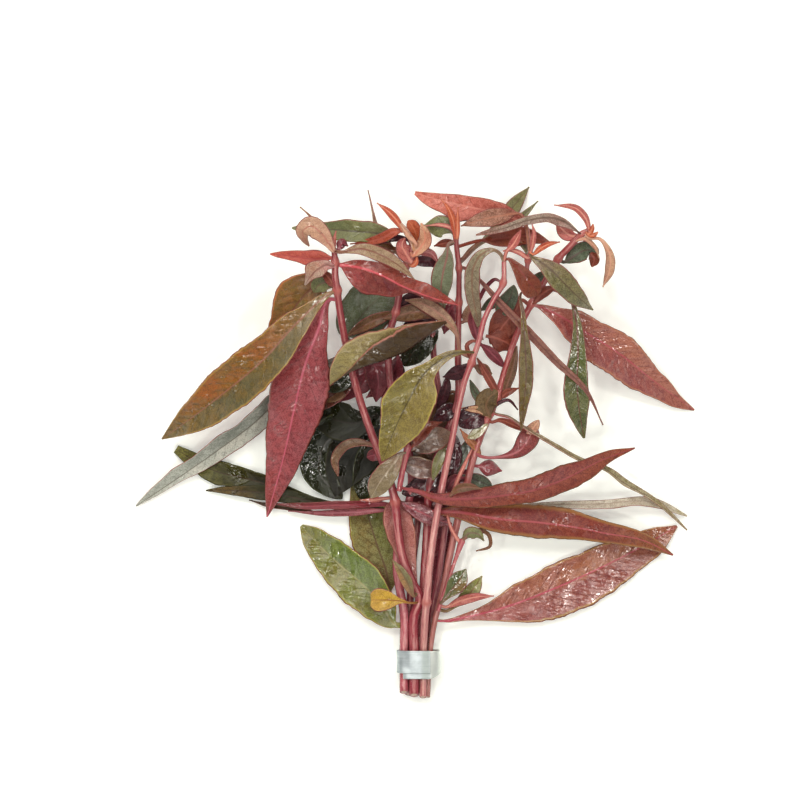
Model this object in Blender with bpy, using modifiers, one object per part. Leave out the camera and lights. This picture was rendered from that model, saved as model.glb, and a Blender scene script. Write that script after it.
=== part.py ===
"""A bunch of red aquarium plant stems, held near the cut ends by a wound strip of soft metal, on a table.

Metres, +Z up, the table at Z 0. Places are read off a picture taken from straight above: across and down
in its 800 by 800 frame, with a height over the table in millimetres. The origin is under the middle.
"""

import math

import bmesh
import bpy
import numpy as np
from mathutils import Vector

MM = 0.001
PIXEL = 0.4 * MM  # of the table, for each step of the picture's frame
EYE = 1.5  # height of the picture's eye over the table
FRAME_MIDDLE = (400, 400)  # the point straight under the eye
BUNCH_MIDDLE = (415.1, 441.4)  # the point of the table that the origin lies on

STRIP_WIDTH = 9.0 * MM
STRIP_THICK = 0.7 * MM
STRIP_TURN = 1.05 * MM  # how far out one turn brings the strip
STRIP_HALF_WIDE = 7.75 * MM
STRIP_HALF_HIGH = 4.55 * MM
STRIP_SQUARENESS = 2.6
STRIP_SLIP = 2.3 * MM  # how far the inner end shows beyond the outer layer
SLIP_START, SLIP_END = 20, 95  # degrees, between which the inner layer moves over
STRIP_START, STRIP_END = -50, 387  # degrees from the top, over to the right
STRIP_STEP = 16  # degrees
STRIP_MIDDLE = (419, 660.3)  # in the picture
STRIP_SETTLE = 0.12 * MM  # how far the wound strip is pressed down on the table

LEAF_THICK = 0.5 * MM
STALK_SHARE = 0.07  # of a leaf's length
STALK_HALF = 0.75 * MM
TIP_HALF = 0.3 * MM
BUD_RADIUS = 2.0 * MM
BUD_SUBDIVISIONS = 2
STEM_STEP = 9 * MM
STEM_CORNERS = 2  # of each quarter of a stem's ring, between its ends
AHEAD = 0.01  # of a leaf's length, over which its direction is read

# red, green, blue, roughness and metallic of each finish
FINISHES = {
    "metal": (0.55, 0.58, 0.60, 0.38, 1.0),
    "stem": (0.42, 0.09, 0.10, 0.35, 0.0),
    "crimson": (0.25, 0.035, 0.04, 0.4, 0.0),
    "bronze": (0.20, 0.13, 0.04, 0.35, 0.0),
    "olive": (0.16, 0.15, 0.05, 0.4, 0.0),
    "green": (0.05, 0.09, 0.03, 0.35, 0.0),
    "brown": (0.16, 0.07, 0.03, 0.35, 0.0),
    "tan": (0.42, 0.22, 0.14, 0.4, 0.0),
    "young_red": (0.50, 0.09, 0.06, 0.4, 0.0),
    "golden": (0.50, 0.28, 0.04, 0.4, 0.0),
    "grey": (0.22, 0.19, 0.15, 0.4, 0.0),
}

bunch = bpy.data.collections.new("weighted_bunch")


def clear_scene():
    for thing in list(bpy.data.objects):
        bpy.data.objects.remove(thing, do_unlink=True)
    bpy.context.scene.collection.children.link(bunch)


def finish(piece, kind):
    """Gives the piece a material of its own."""
    red, green, blue, roughness, metallic = FINISHES[kind]
    material = bpy.data.materials.new(piece.name + "_" + kind)
    material.use_nodes = True
    shader = material.node_tree.nodes["Principled BSDF"]
    shader.inputs["Base Color"].default_value = (red, green, blue, 1)
    shader.inputs["Roughness"].default_value = roughness
    shader.inputs["Metallic"].default_value = metallic
    piece.data.materials.append(material)


def spot(across, down, height):
    """The place that the picture shows at (across, down), height mm over the table."""
    reach = PIXEL * (1 - height * MM / EYE)
    return (
        (across - FRAME_MIDDLE[0]) * reach - (BUNCH_MIDDLE[0] - FRAME_MIDDLE[0]) * PIXEL,
        (FRAME_MIDDLE[1] - down) * reach - (FRAME_MIDDLE[1] - BUNCH_MIDDLE[1]) * PIXEL,
        height * MM,
    )


def smooth_path(rows, at):
    """Rows of a smooth curve through the given rows, at the given distances along it from 0 to 1."""
    rows = np.array(rows, float)
    steps = np.linalg.norm(np.diff(rows[:, :3], axis=0), axis=1)
    knots = np.concatenate([[0], np.cumsum(steps)]) / steps.sum()
    slopes = np.diff(rows, axis=0) / np.diff(knots)[:, None]
    tangents = np.empty_like(rows)
    tangents[0], tangents[-1] = slopes[0], slopes[-1]
    before, after = np.diff(knots)[:-1, None], np.diff(knots)[1:, None]
    tangents[1:-1] = (slopes[:-1] * after + slopes[1:] * before) / (before + after)
    span = np.clip(np.searchsorted(knots, at, side="right") - 1, 0, len(steps) - 1)
    length = np.diff(knots)[span][:, None]
    part = (np.asarray(at)[:, None] - knots[span][:, None]) / length
    return (
        rows[span] * (2 * part**3 - 3 * part**2 + 1)
        + tangents[span] * length * (part**3 - 2 * part**2 + part)
        + rows[span + 1] * (3 * part**2 - 2 * part**3)
        + tangents[span + 1] * length * (part**3 - part**2)
    )


def show(name, data, kind):
    piece = bpy.data.objects.new(name, data)
    bunch.objects.link(piece)
    finish(piece, kind)
    return piece


def sheet(name, across_steps, along_steps, place, thick, kind):
    """An open grid, moved point by point to place(u, v) and given a thickness. u is -1 to 1, v 0 to 1."""
    bm = bmesh.new()
    bmesh.ops.create_grid(bm, x_segments=across_steps, y_segments=along_steps, size=1)
    for point in bm.verts:
        point.co = Vector(place(point.co.x, (point.co.y + 1) / 2))
    data = bpy.data.meshes.new(name)
    bm.to_mesh(data)
    bm.free()
    data.shade_smooth()
    piece = show(name, data, kind)
    wall = piece.modifiers.new("thickness", "SOLIDIFY")
    wall.thickness = thick
    wall.offset = 0
    return piece


def lead_strip():
    """The strip is wound over the stems from the left, and its outer end stops on the right of the top."""
    middle = spot(*STRIP_MIDDLE, 0)
    rise = STRIP_HALF_HIGH + STRIP_TURN / 2 + STRIP_THICK / 2 - STRIP_SETTLE
    steps = round((STRIP_END - STRIP_START) / STRIP_STEP)

    def place(u, v):
        turn = STRIP_START + (STRIP_END - STRIP_START) * v
        grown = STRIP_TURN * turn / 360
        east, north = math.sin(math.radians(turn)), math.cos(math.radians(turn))
        power = 2 / STRIP_SQUARENESS
        x = math.copysign(abs(east) ** power, east) * (STRIP_HALF_WIDE + grown)
        z = math.copysign(abs(north) ** power, north) * (STRIP_HALF_HIGH + grown)
        slip = min(1.0, max(0.0, (SLIP_END - turn) / (SLIP_END - SLIP_START)))
        along = u * STRIP_WIDTH / 2 - STRIP_SLIP * slip * slip * (3 - 2 * slip)
        return middle[0] + x, middle[1] + along, max(rise + z, STRIP_THICK / 2)

    return sheet("lead_strip", 1, steps, place, STRIP_THICK, "metal")


def stem(name, route, kind="stem"):
    """A tube along points (across, down, height mm, radius mm), thicker where leaves sit on it."""
    rows = [(*spot(across, down, height), radius) for across, down, height, radius in route]
    steps = np.linalg.norm(np.diff(np.array(rows)[:, :3], axis=0), axis=1)
    knots = np.concatenate([[0], np.cumsum(steps)]) / steps.sum()
    at = [0.0]
    for start, end, step in zip(knots[:-1], knots[1:], steps):
        parts = max(1, round(step / STEM_STEP))
        at += [start + (end - start) * part / parts for part in range(1, parts + 1)]
    data = bpy.data.curves.new(name, "CURVE")
    data.dimensions = "3D"
    data.bevel_depth = MM
    data.bevel_resolution = STEM_CORNERS
    data.use_fill_caps = True
    line = data.splines.new("POLY")
    line.points.add(len(at) - 1)
    for point, row in zip(line.points, smooth_path(rows, at)):
        point.co = (*row[:3], 1)
        point.radius = row[3]
    return show(name, data, kind)


def half_width(v, width, peak, fullness):
    """Half of a leaf's width at v of its length: a thin stalk, then a blade that is widest at peak."""
    blade = max(0.0, (v - STALK_SHARE) / (1 - STALK_SHARE))
    bow = math.sin(math.pi * min(1.0, blade ** (math.log(0.5) / math.log(peak))))
    half = width / 2 * max(0.0, bow) ** fullness
    return max(math.hypot(half, STALK_HALF * (1 - v)), TIP_HALF)


def leaf(name, kind, width, rib, fold=12, peak=0.42, fullness=1.0, steps=9):
    """A leaf on a midrib of points (across, down, height mm, roll), width in mm.

    A roll of 0 shows the upper side and 180 the underside, and more lifts the edge on the right of
    someone who walks from the stalk to the tip. Each half of the blade is lifted by the fold.
    """
    rows = [(*spot(across, down, height), math.radians(roll)) for across, down, height, roll in rib]
    at = np.linspace(0, 1, steps + 1)
    path = smooth_path(rows, at)
    ahead = smooth_path(rows, np.clip(at + AHEAD, 0, 1)) - smooth_path(rows, np.clip(at - AHEAD, 0, 1))

    def place(u, v):
        station = round(v * steps)
        way = Vector(ahead[station, :3]).normalized()
        right = way.cross(Vector((0, 0, 1))).normalized()
        up = right.cross(way)
        lift = path[station, 3] + math.radians(fold) * (1 if u > 0 else -1)
        out = right * math.cos(lift) + up * math.sin(lift)
        point = Vector(path[station, :3]) + out * round(u) * half_width(v, width * MM, peak, fullness)
        point.z = max(point.z, LEAF_THICK / 2)
        return point

    return sheet(name, 2, steps, place, LEAF_THICK, kind)


def shoot_tip(name, middle, points, kind="young_red"):
    """The folded youngest leaves at a shoot's end: a bud drawn out to a point for each small leaf."""
    bm = bmesh.new()
    bmesh.ops.create_icosphere(bm, subdivisions=BUD_SUBDIVISIONS, radius=BUD_RADIUS)
    for across, down, height in points:
        point = Vector(spot(across, down, height)) - Vector(spot(*middle))
        nearest = max(bm.verts, key=lambda vert: vert.co.normalized().dot(point.normalized()))
        nearest.co = point
    bmesh.ops.translate(bm, verts=bm.verts, vec=spot(*middle))
    data = bpy.data.meshes.new(name)
    bm.to_mesh(data)
    bm.free()
    return show(name, data, kind)


clear_scene()
lead_strip()

# stems that pass through the strip
stem("left_stem", [
    (404, 692, 6.2, 1.7), (404, 650, 6.3, 1.7), (404, 612, 7.5, 1.75), (400, 590, 8, 1.7),
    (397, 570, 8, 1.7), (399, 540, 8.5, 1.65), (406, 512, 9, 1.6), (411, 490, 9.5, 1.6),
    (407, 445, 12, 1.6), (394, 405, 15, 1.6), (389, 370, 19, 1.5), (389, 335, 23, 1.45),
    (396, 312, 26, 1.9), (400, 290, 30, 1.4), (407, 264, 35, 1.8), (412, 248, 39, 1.1),
])
stem("middle_stem", [
    (414, 695, 7.0, 1.85), (414.5, 650, 7.0, 1.85), (415, 615, 9, 1.8), (420, 598, 10.5, 2.0),
    (414, 585, 12, 1.7), (404, 562, 14, 1.7), (398, 530, 15.5, 1.75), (395, 502, 17, 2.3),
    (389, 478, 18, 1.7), (378, 450, 20, 1.75), (366, 418, 23, 1.6), (353, 375, 29, 1.5),
    (345, 340, 34, 1.45), (340, 312, 38, 1.4), (337, 290, 41, 2.0), (335, 276, 43, 1.4),
    (335, 262, 44, 1.8), (334, 249, 46, 1.1),
])
stem("front_stem", [
    (423, 697, 6.9, 1.35), (423.5, 650, 7.0, 1.4), (425, 618, 11, 1.5), (426.5, 602, 14, 2.1),
    (429.5, 565, 16.5, 1.55), (436, 520, 18.5, 1.5), (443.5, 480, 20, 1.5), (452, 440, 23, 1.5),
    (460, 400, 27, 1.4), (465, 380, 29, 1.4), (471.5, 362, 31, 1.9), (479, 340, 33, 1.35),
    (484, 320, 35, 1.3), (493.5, 300, 37, 1.25), (503, 283, 39, 1.8), (504, 262, 41, 1.0),
])
stem("back_stem", [
    (418.5, 694, 2.9, 1.6), (419, 650, 2.9, 1.6), (421, 612, 5, 1.6), (424, 575, 7, 1.6),
    (427, 530, 9, 1.6), (429, 490, 11, 1.6), (438, 455, 13.5, 1.6), (452, 420, 15.5, 1.6),
    (458, 400, 16.5, 1.55), (458, 370, 18, 1.5), (458, 340, 20, 1.5), (459, 302, 25, 1.9),
    (459, 285, 28, 1.4), (459, 268, 31, 1.9), (457, 250, 34, 1.3), (456, 236, 37, 1.5),
    (456, 227, 39, 0.9),
])
stem("right_stem", [
    (427.5, 697, 4.3, 1.05), (430.3, 650, 5.9, 1.1), (435, 620, 8, 1.25), (443, 590, 9, 1.4),
    (450, 555, 10.5, 1.4), (459, 515, 13, 1.5), (467, 483, 16, 1.5), (474, 455, 18, 1.5),
    (482, 432, 20, 1.5), (490, 413, 22, 2.0), (497, 396, 23.5, 1.7), (505, 370, 25, 1.25),
    (513, 345, 26, 1.25), (523, 320, 27.5, 1.25), (532, 303, 29, 1.8), (542, 286, 31, 1.15),
    (550, 272, 33, 1.15), (558, 259, 35, 1.8), (570, 246, 37.5, 1.3), (582, 234, 40, 1.4),
    (588, 230, 41, 0.9),
])
stem("slim_stem", [
    (424.5, 694, 2.2, 1.1), (428.5, 650, 2.5, 1.3), (432, 612, 4.5, 1.4), (437, 585, 6, 1.4),
    (442, 550, 7, 1.4), (447, 515, 8, 1.4), (452, 490, 8.5, 1.4), (452, 460, 8.5, 1.4),
    (446, 425, 8.5, 1.35), (438, 385, 10, 1.3), (433, 345, 15, 1.3), (433, 318, 18, 1.3),
    (436, 295, 22, 1.6),
])
stem("low_stem", [
    (409, 694, 2.9, 1.6), (409, 650, 2.9, 1.6), (410, 600, 4, 1.55), (413, 560, 4.5, 1.5),
    (418, 520, 5, 1.5), (419, 490, 5.5, 1.5), (417, 460, 6.5, 1.5), (405, 420, 8.5, 1.4),
    (385, 395, 10.5, 1.4), (370, 370, 12, 1.35), (362, 345, 14, 1.6),
])

# shoots that fork from the stems
stem("side_shoot_left", [
    (399, 491, 20.5, 1.1), (401, 478, 21.5, 1.2), (404, 463, 22, 1.2), (408, 447, 23, 1.6),
])
stem("side_shoot_right", [
    (438, 611, 12, 0.85), (447, 585, 13.5, 0.8), (456, 558, 14.5, 0.8), (462, 541, 15, 1.4),
])
stem("side_shoot_top", [
    (530, 294, 32, 0.9), (527, 282, 34, 0.9), (527, 270, 36.5, 0.9), (528, 260, 39, 1.5),
    (530, 252, 41, 0.7),
])

# large leaves of the middle stem's top and of the left side
leaf("leaf_bronze_long", "bronze", 19, [
    (331, 293, 42, 0), (300, 320, 42, 0), (262, 361, 37, 0), (225, 392, 29, 0), (190, 419, 19, 0),
    (162, 439, 9, 0),
], fold=14, steps=12)
leaf("leaf_crimson_long", "crimson", 24, [
    (331, 299, 38, 180), (318, 330, 35, 180), (305, 365, 31, 180), (294, 410, 24, 180),
    (284, 455, 16, 180), (267, 517, 6, 180),
], fold=10, steps=12)
leaf("leaf_grey_long", "grey", 11, [
    (352, 352, 17, 30), (320, 368, 15, 30), (290, 388, 12, 30), (255, 422, 9, 35), (215, 452, 6, 30),
    (175, 480, 3.5, 20), (136, 506, 1.2, 10),
], steps=11)
leaf("leaf_brown_back", "brown", 20, [
    (327, 276, 34, 0), (312, 288, 33, 0), (294, 308, 29, 0), (282, 332, 24, 0), (276, 360, 20, 0),
], fullness=0.8)
leaf("leaf_taupe_droop", "grey", 7.5, [
    (331, 266, 45, 0), (318, 268, 47.5, 0), (307, 277, 45, 0), (309, 287, 42, 0), (315, 295, 40, 0),
], steps=7)
leaf("leaf_red_left", "young_red", 7.5, [
    (330, 258, 44, 0), (310, 259, 44, 0), (290, 256, 43.5, 0), (270, 254, 41, 0),
], steps=7)
leaf("leaf_tan_top_left", "tan", 8, [
    (332, 247, 48, 0), (327, 236, 51, 0), (320, 226, 54, 0), (309, 225, 53, 0), (301, 231, 49, 0),
    (308, 246, 42, 0),
], steps=9)
leaf("leaf_olive_back_left", "olive", 9, [
    (404, 240, 33, 0), (375, 233, 35, 0), (350, 231, 35, 0), (325, 229, 33, 0), (292, 228, 29, 0),
], steps=8)
leaf("leaf_tan_arch", "tan", 6, [
    (339, 252, 47, 0), (362, 249, 50, 0), (385, 257, 49, 0), (402, 268, 46, 0), (415, 280, 42.5, 0),
], steps=8)
leaf("leaf_crimson_top", "crimson", 15, [
    (341, 265, 43, -10), (365, 269, 45, -10), (385, 277, 44, -10), (402, 286, 41, -10),
    (430, 297, 37, -10), (458, 305, 33, -10),
], fold=-20, steps=10)
leaf("leaf_green_back", "green", 17, [
    (358, 335, 16, 0), (363, 320, 18, 0), (376, 305, 19, 0), (397, 288, 18, 0),
], fullness=0.8, steps=7)
leaf("leaf_rolled_olive", "olive", 18, [
    (446, 324, 32, -60), (430, 335, 34, -60), (405, 350, 37, -60), (388, 360, 38.5, -60),
    (368, 366, 39, -60), (350, 373, 38, -60), (332, 384, 34, -60),
], fold=65, steps=10)
leaf("leaf_yellow_green", "olive", 18, [
    (466, 352, 35, 0), (452, 354, 37, 0), (438, 362, 38, 0), (424, 374, 38, 0), (411, 396, 36, 0),
    (398, 422, 32, 0), (382, 461, 26, 0),
], peak=0.5, steps=10)

# leaves of the left side below the middle
leaf("leaf_wet_upper", "green", 16, [
    (378, 414, 11.5, 0), (355, 423, 9.5, 0), (330, 418, 6, 0), (306, 404, 1, 0),
], steps=7)
leaf("leaf_wet_lower", "green", 22, [
    (388, 424, 7.5, 0), (365, 440, 5.4, 0), (347, 464, 3.6, 0), (335, 496, 2.2, 0),
], fullness=0.8, steps=8)
leaf("leaf_taupe_centre", "tan", 9, [
    (403, 453, 25, 0), (392, 466, 25.5, 0), (380, 482, 23.5, 0), (371, 498, 20, 0),
], fullness=0.8, steps=6)
leaf("leaf_dark_far_left", "olive", 9.5, [
    (398, 506, 8.6, 0), (345, 502, 7, 0), (290, 491, 4.6, 0), (240, 477, 3.2, 0), (205, 463, 2.1, 0),
    (174, 448, 1.2, 0),
], steps=10)
leaf("leaf_orange_rim_left", "olive", 5, [
    (396, 512, 6.2, 25), (330, 505, 3.9, 20), (280, 496, 2.2, 20), (240, 492, 1.6, 15),
    (206, 491, 0.8, 10),
], steps=8)
leaf("leaf_folded_left_upper", "crimson", 4.5, [
    (390, 504, 11.4, 30), (330, 504, 10, 30), (274, 502, 5.6, 20),
], steps=6)
leaf("leaf_tan_behind_stem", "tan", 12, [
    (397, 509, 12.3, 0), (400, 530, 12, 0), (404, 553, 11.5, 0), (410, 575, 10.3, 0),
    (415, 590, 8.6, 0),
], fold=4, fullness=0.8, steps=8)
leaf("leaf_olive_low", "olive", 19, [
    (393, 598, 3, 0), (386, 570, 2.2, 0), (377, 545, 1.4, 0), (370, 522, 0.8, 0), (362, 495, 0.4, 0),
    (352, 468, 0.3, 0),
], fold=4, steps=9)
leaf("leaf_green_broad", "green", 18.5, [
    (396, 624, 6, 0), (383, 607, 6.5, 0), (363, 585, 5.5, 0), (341, 566, 3.5, 0), (321, 547, 1.6, 0),
    (301, 526, 0.4, 0),
], fold=6, peak=0.48, fullness=0.75, steps=9)
leaf("leaf_golden", "golden", 10, [
    (411, 603, 14, 0), (400, 601, 14.5, 0), (386, 600, 14.5, 0), (371, 600, 13, 0),
], peak=0.7, fullness=0.7, steps=6)
leaf("leaf_olive_folded", "olive", 5, [
    (414, 596, 14.5, 0), (407, 582, 16.5, 0), (400, 570, 17.5, 0), (392, 559, 17, 0),
], steps=6)

# leaves of the lower right
leaf("leaf_glossy_right", "crimson", 22, [
    (444, 621, 7, 0), (466, 617, 6, 0), (492, 611, 4, 0), (523, 601, 2, 0), (553, 589, 0.8, 0),
    (600, 568, 0.4, 0), (643, 546, 0.6, 0), (677, 526, 1.4, 0),
], fold=8, peak=0.45, steps=13)
leaf("leaf_crimson_right_lower", "crimson", 15, [
    (434, 511, 14, 180), (457, 512, 16.5, 180), (500, 519, 18, 180), (535, 522, 17.5, 180),
    (574, 527, 16, 180), (604, 533, 14, 180), (645, 541, 11, 180), (673, 555, 7, 180),
], fold=12, peak=0.4, steps=12)
leaf("leaf_crimson_right_upper", "crimson", 12, [
    (406, 489, 23.5, 180), (416, 491, 24, 180), (437, 498, 24.5, 180), (465, 499, 25, 180),
    (500, 496, 26, 180), (535, 490, 26, 180), (565, 479, 26, 180), (600, 461, 24, 180),
    (635, 448, 20, 180),
], fold=12, peak=0.5, steps=12)
leaf("leaf_thin_right_upper", "grey", 5, [
    (494, 413, 24, 45), (508, 417, 24.6, 45), (523, 427, 24.4, 45), (543, 439, 23.5, 45),
    (582, 461, 20, 45), (604, 469, 18, 45), (625, 484, 14, 45), (653, 500, 9, 45), (687, 530, 3, 30),
], steps=13)
leaf("leaf_thin_right_lower", "grey", 5, [
    (466, 510, 10.5, 30), (510, 508, 10.5, 30), (553, 505, 10, 30), (600, 504, 8.5, 30),
    (650, 502, 6, 30), (687, 516, 2.5, 20),
], steps=10)
leaf("leaf_hooked", "crimson", 9, [
    (480, 456, 20, 180), (500, 457, 22, 180), (517, 452, 23, 180), (529, 438, 23, 180),
    (534, 423, 21, 180),
], peak=0.75, fullness=0.8, steps=8)
leaf("leaf_short_crimson", "crimson", 7, [
    (477, 466, 16, 180), (489, 468, 16, 180), (502, 471, 14, 180),
], steps=5)
leaf("leaf_pair_green", "green", 8, [
    (441, 603, 14, 0), (450, 592, 16, 0), (459, 580, 17, 0), (466, 569, 16, 0),
], peak=0.6, steps=6)
leaf("leaf_pair_olive", "olive", 6.5, [
    (445, 611, 8.5, 0), (458, 603, 10, 0), (471, 592, 11, 0), (482, 576, 10, 0),
], peak=0.6, steps=6)

# leaves of the top
leaf("leaf_olive_tip", "olive", 7, [
    (464, 259, 28, 0), (474, 249, 23, 0), (488, 237, 16, 0), (502, 223, 9, 0), (514, 206, 4, 0),
    (529, 187, 0.4, 0),
], peak=0.66)
leaf("leaf_red_top", "crimson", 11, [
    (523, 223, 31, 0), (500, 214, 33, 0), (470, 207, 34, 0), (440, 200, 33, 0), (415, 193, 30, 0),
], steps=8)
leaf("leaf_tan_top", "tan", 7.5, [
    (519, 214, 36.5, 0), (500, 216, 39, 0), (480, 220, 39, 0), (461, 226, 37, 0),
], steps=7)
leaf("leaf_grey_top", "grey", 4, [
    (577, 231, 42.5, 0), (565, 222, 43, 0), (552, 218, 43, 0), (530, 220, 42, 0), (505, 228, 41, 0),
    (476, 235, 37, 0),
], steps=9)
leaf("leaf_rust_top", "brown", 8, [
    (478, 241, 31, 0), (500, 239, 32, 0), (525, 236, 32, 0), (553, 244, 30, 0),
], steps=7)
leaf("leaf_green_hanging", "grey", 9, [
    (450, 243, 36, 0), (447, 257, 35, 0), (443, 273, 33, 0), (441, 290, 30, 0), (444, 312, 26, 0),
], steps=7)
leaf("leaf_olive_arch", "olive", 6.5, [
    (501, 255, 42.5, 0), (493, 250, 45, 0), (482, 254, 45, 0), (474, 266, 42, 0), (472, 286, 37, 0),
    (476, 312, 31, 0), (483, 340, 25, 0),
], steps=10)
leaf("leaf_rust_right", "brown", 8, [
    (507, 259, 42, 0), (517, 267, 43, 0), (528, 281, 42, 0), (539, 294, 38, 0),
], steps=6)
leaf("leaf_olive_right", "olive", 10, [
    (532, 257, 42.5, 0), (548, 267, 44, 0), (562, 281, 42, 0), (577, 296, 37, 0), (593, 310, 31, 0),
], steps=8)
leaf("leaf_narrow_hanging", "olive", 7, [
    (522, 292, 34, 0), (523, 315, 36, 0), (525, 345, 36, 0), (526, 380, 34, 0), (523, 410, 30.5, 0),
    (521, 431, 28, 0),
], steps=9)
leaf("leaf_wet_hanging", "olive", 9, [
    (571, 300, 30, 0), (576, 320, 30.5, 0), (578, 350, 29, 0), (577, 385, 26, 0), (580, 415, 21, 0),
    (584, 438, 16, 0),
], peak=0.6, steps=9)
leaf("leaf_red_far_right", "crimson", 16.5, [
    (538, 306, 26, 0), (556, 314, 24, 0), (590, 335, 19.5, 0), (620, 354, 14.5, 0), (650, 378, 8, 0),
    (694, 410, 0.4, 0),
], steps=11)
leaf("leaf_thin_across", "grey", 3.6, [
    (464, 268, 31.5, 0), (475, 276, 32.5, 0), (500, 303, 33.5, 0), (530, 334, 33, 0), (557, 362, 33, 0),
    (585, 389, 33, 0), (603, 425, 27, 0),
], steps=10)

# ends of three shoots
shoot_tip("left_shoot_tip", (412.5, 242, 42), [
    (377, 203, 43), (408, 222, 47), (422, 226, 46), (364, 244, 37), (436, 261, 36),
])
shoot_tip("back_shoot_tip", (456, 221, 42), [(442, 199, 44), (458, 206, 45), (425, 228, 37)])
shoot_tip("right_shoot_tip", (591, 226, 43.5), [
    (554, 205, 44), (592, 216, 47), (609, 252, 42), (603, 286, 34),
])
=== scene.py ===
"""A cut bunch of red aquarium plant stems, held by a wound strip of soft metal and lying on a table.

Metres, +Z up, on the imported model's frame. Places are read off a picture taken from straight above:
across and down in its 800 by 800 frame, with a height over the table in millimetres.
"""

import math

import bpy
import numpy as np
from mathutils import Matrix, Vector


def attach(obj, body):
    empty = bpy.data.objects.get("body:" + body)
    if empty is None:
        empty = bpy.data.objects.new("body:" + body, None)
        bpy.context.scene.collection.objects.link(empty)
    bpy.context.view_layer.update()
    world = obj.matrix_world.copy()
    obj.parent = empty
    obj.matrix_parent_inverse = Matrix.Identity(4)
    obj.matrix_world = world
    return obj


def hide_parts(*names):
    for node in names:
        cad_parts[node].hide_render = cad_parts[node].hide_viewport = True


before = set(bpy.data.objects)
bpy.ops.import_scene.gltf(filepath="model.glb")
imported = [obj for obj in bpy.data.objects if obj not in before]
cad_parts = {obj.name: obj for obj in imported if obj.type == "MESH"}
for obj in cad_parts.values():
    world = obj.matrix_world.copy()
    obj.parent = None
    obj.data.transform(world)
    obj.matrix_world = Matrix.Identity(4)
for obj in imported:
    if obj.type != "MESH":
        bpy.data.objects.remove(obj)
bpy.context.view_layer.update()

# The table. A plain white sheet, lit from all round and by one broad lamp, under a picture taken from
# straight above the bunch. Small lamps in a ring give the wet leaves their glints.
MM = 0.001
PIXEL = 0.4 * MM
EYE = 1.5  # how high the picture is taken from
FRAME_SIDE = 800
FRAME_MIDDLE = (400, 400)
BUNCH_MIDDLE = (415.1, 441.4)
TABLE_HALF = 4.0
GLOW_NEAR, GLOW_FAR = 0.3, 2.0  # how far off the table's own glow starts to rise, and is at its full
ROOM_LIGHT = (1, 0.99, 0.965, 1)
WALL_GLOW, CEILING_GLOW = 0.93, 0.05
LAMP_COLOUR = (1, 0.97, 0.91)
LAMP_HEIGHT = 1.2
SPARK_LAMPS = 12
SPARK_RINGS = (0.45, 0.62, 0.8)


def spot(across, down, height):
    """The place that the picture shows at (across, down), height mm over the table."""
    reach = PIXEL * (1 - height * MM / EYE)
    return Vector((
        (across - FRAME_MIDDLE[0]) * reach - (BUNCH_MIDDLE[0] - FRAME_MIDDLE[0]) * PIXEL,
        (FRAME_MIDDLE[1] - down) * reach - (FRAME_MIDDLE[1] - BUNCH_MIDDLE[1]) * PIXEL,
        height * MM,
    ))


class Wire:
    """A socket of a node tree. Sums written on it add the nodes for them, and put() adds any other node."""

    def __init__(self, tree, socket=None):
        self.tree, self.socket = tree, socket

    def put(self, kind, settings=None, inputs=None, out=0):
        node = self.tree.nodes.new(kind)
        for name, value in (settings or {}).items():
            if name == "captured":
                node.capture_items.new(value, "value")
            else:
                setattr(node, name, value)
        for name, value in (inputs or {}).items():
            if isinstance(value, Wire):
                self.tree.links.new(value.socket, node.inputs[name])
            else:
                node.inputs[name].default_value = value
        return Wire(self.tree, None if out is None else node.outputs[out])

    def also(self, out):
        """Another output of the same node."""
        return Wire(self.tree, self.socket.node.outputs[out])

    def sum(self, operation, *values):
        return self.put("ShaderNodeMath", {"operation": operation}, dict(enumerate(values)))

    def turned(self, operation):
        """What a sum of one number, such as its sine, makes of this one."""
        return self.sum(operation, self)

    def arrow(self, operation, *values, out=0):
        return self.put("ShaderNodeVectorMath", {"operation": operation}, dict(enumerate(values)), out)

    def whole(self, x, y, z):
        """One place or direction made of three numbers."""
        return self.put("ShaderNodeCombineXYZ", None, {0: x, 1: y, 2: z})

    def apart(self):
        """The three numbers of this place or direction."""
        x = self.put("ShaderNodeSeparateXYZ", None, {0: self})
        return x, x.also(1), x.also(2)

    def is_arrow(self):
        return self.socket.type == "VECTOR"

    def __add__(self, other):
        return self.arrow("ADD", self, other) if self.is_arrow() else self.sum("ADD", self, other)

    def __sub__(self, other):
        return self.arrow("SUBTRACT", self, other) if self.is_arrow() else self.sum("SUBTRACT", self, other)

    def __mul__(self, other):
        if self.is_arrow():
            return self.put("ShaderNodeVectorMath", {"operation": "SCALE"},
                            {"Vector": self, "Scale": other})
        return self.sum("MULTIPLY", self, other)

    def __truediv__(self, other):
        return self.sum("DIVIDE", self, other)

    def __pow__(self, other):
        return self.sum("POWER", self, other)

    def __rsub__(self, other):
        return self.sum("SUBTRACT", other, self)

    def __rtruediv__(self, other):
        return self.sum("DIVIDE", other, self)

    __radd__, __rmul__ = __add__, __mul__

    def ease(self, low, high):
        """0 below low and 1 above high, with a smooth rise between them."""
        return self.put("ShaderNodeMapRange", {"interpolation_type": "SMOOTHSTEP"},
                        {"Value": self, "From Min": low, "From Max": high})

    def noise(self, scale, detail=2.0, stretch=None):
        """Smooth noise around a half, scale times a metre, at this place."""
        place = self.arrow("MULTIPLY", self, stretch) if stretch else self
        return self.put("ShaderNodeTexNoise", {"noise_dimensions": "3D"},
                        {"Vector": place, "Scale": scale, "Detail": detail})

    def blend(self, first, second):
        """The first colour where this is 0 and the second where it is 1."""
        return self.put("ShaderNodeMix", {"data_type": "RGBA"}, {0: self, 6: first, 7: second}, out=2)


def colour(code):
    """A colour as a screen shows it, such as a03c40, in the linear numbers that a shader takes."""
    parts = [int(code[i:i + 2], 16) / 255 for i in (0, 2, 4)]
    return (*[p / 12.92 if p <= 0.04045 else ((p + 0.055) / 1.055) ** 2.4 for p in parts], 1)


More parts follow.
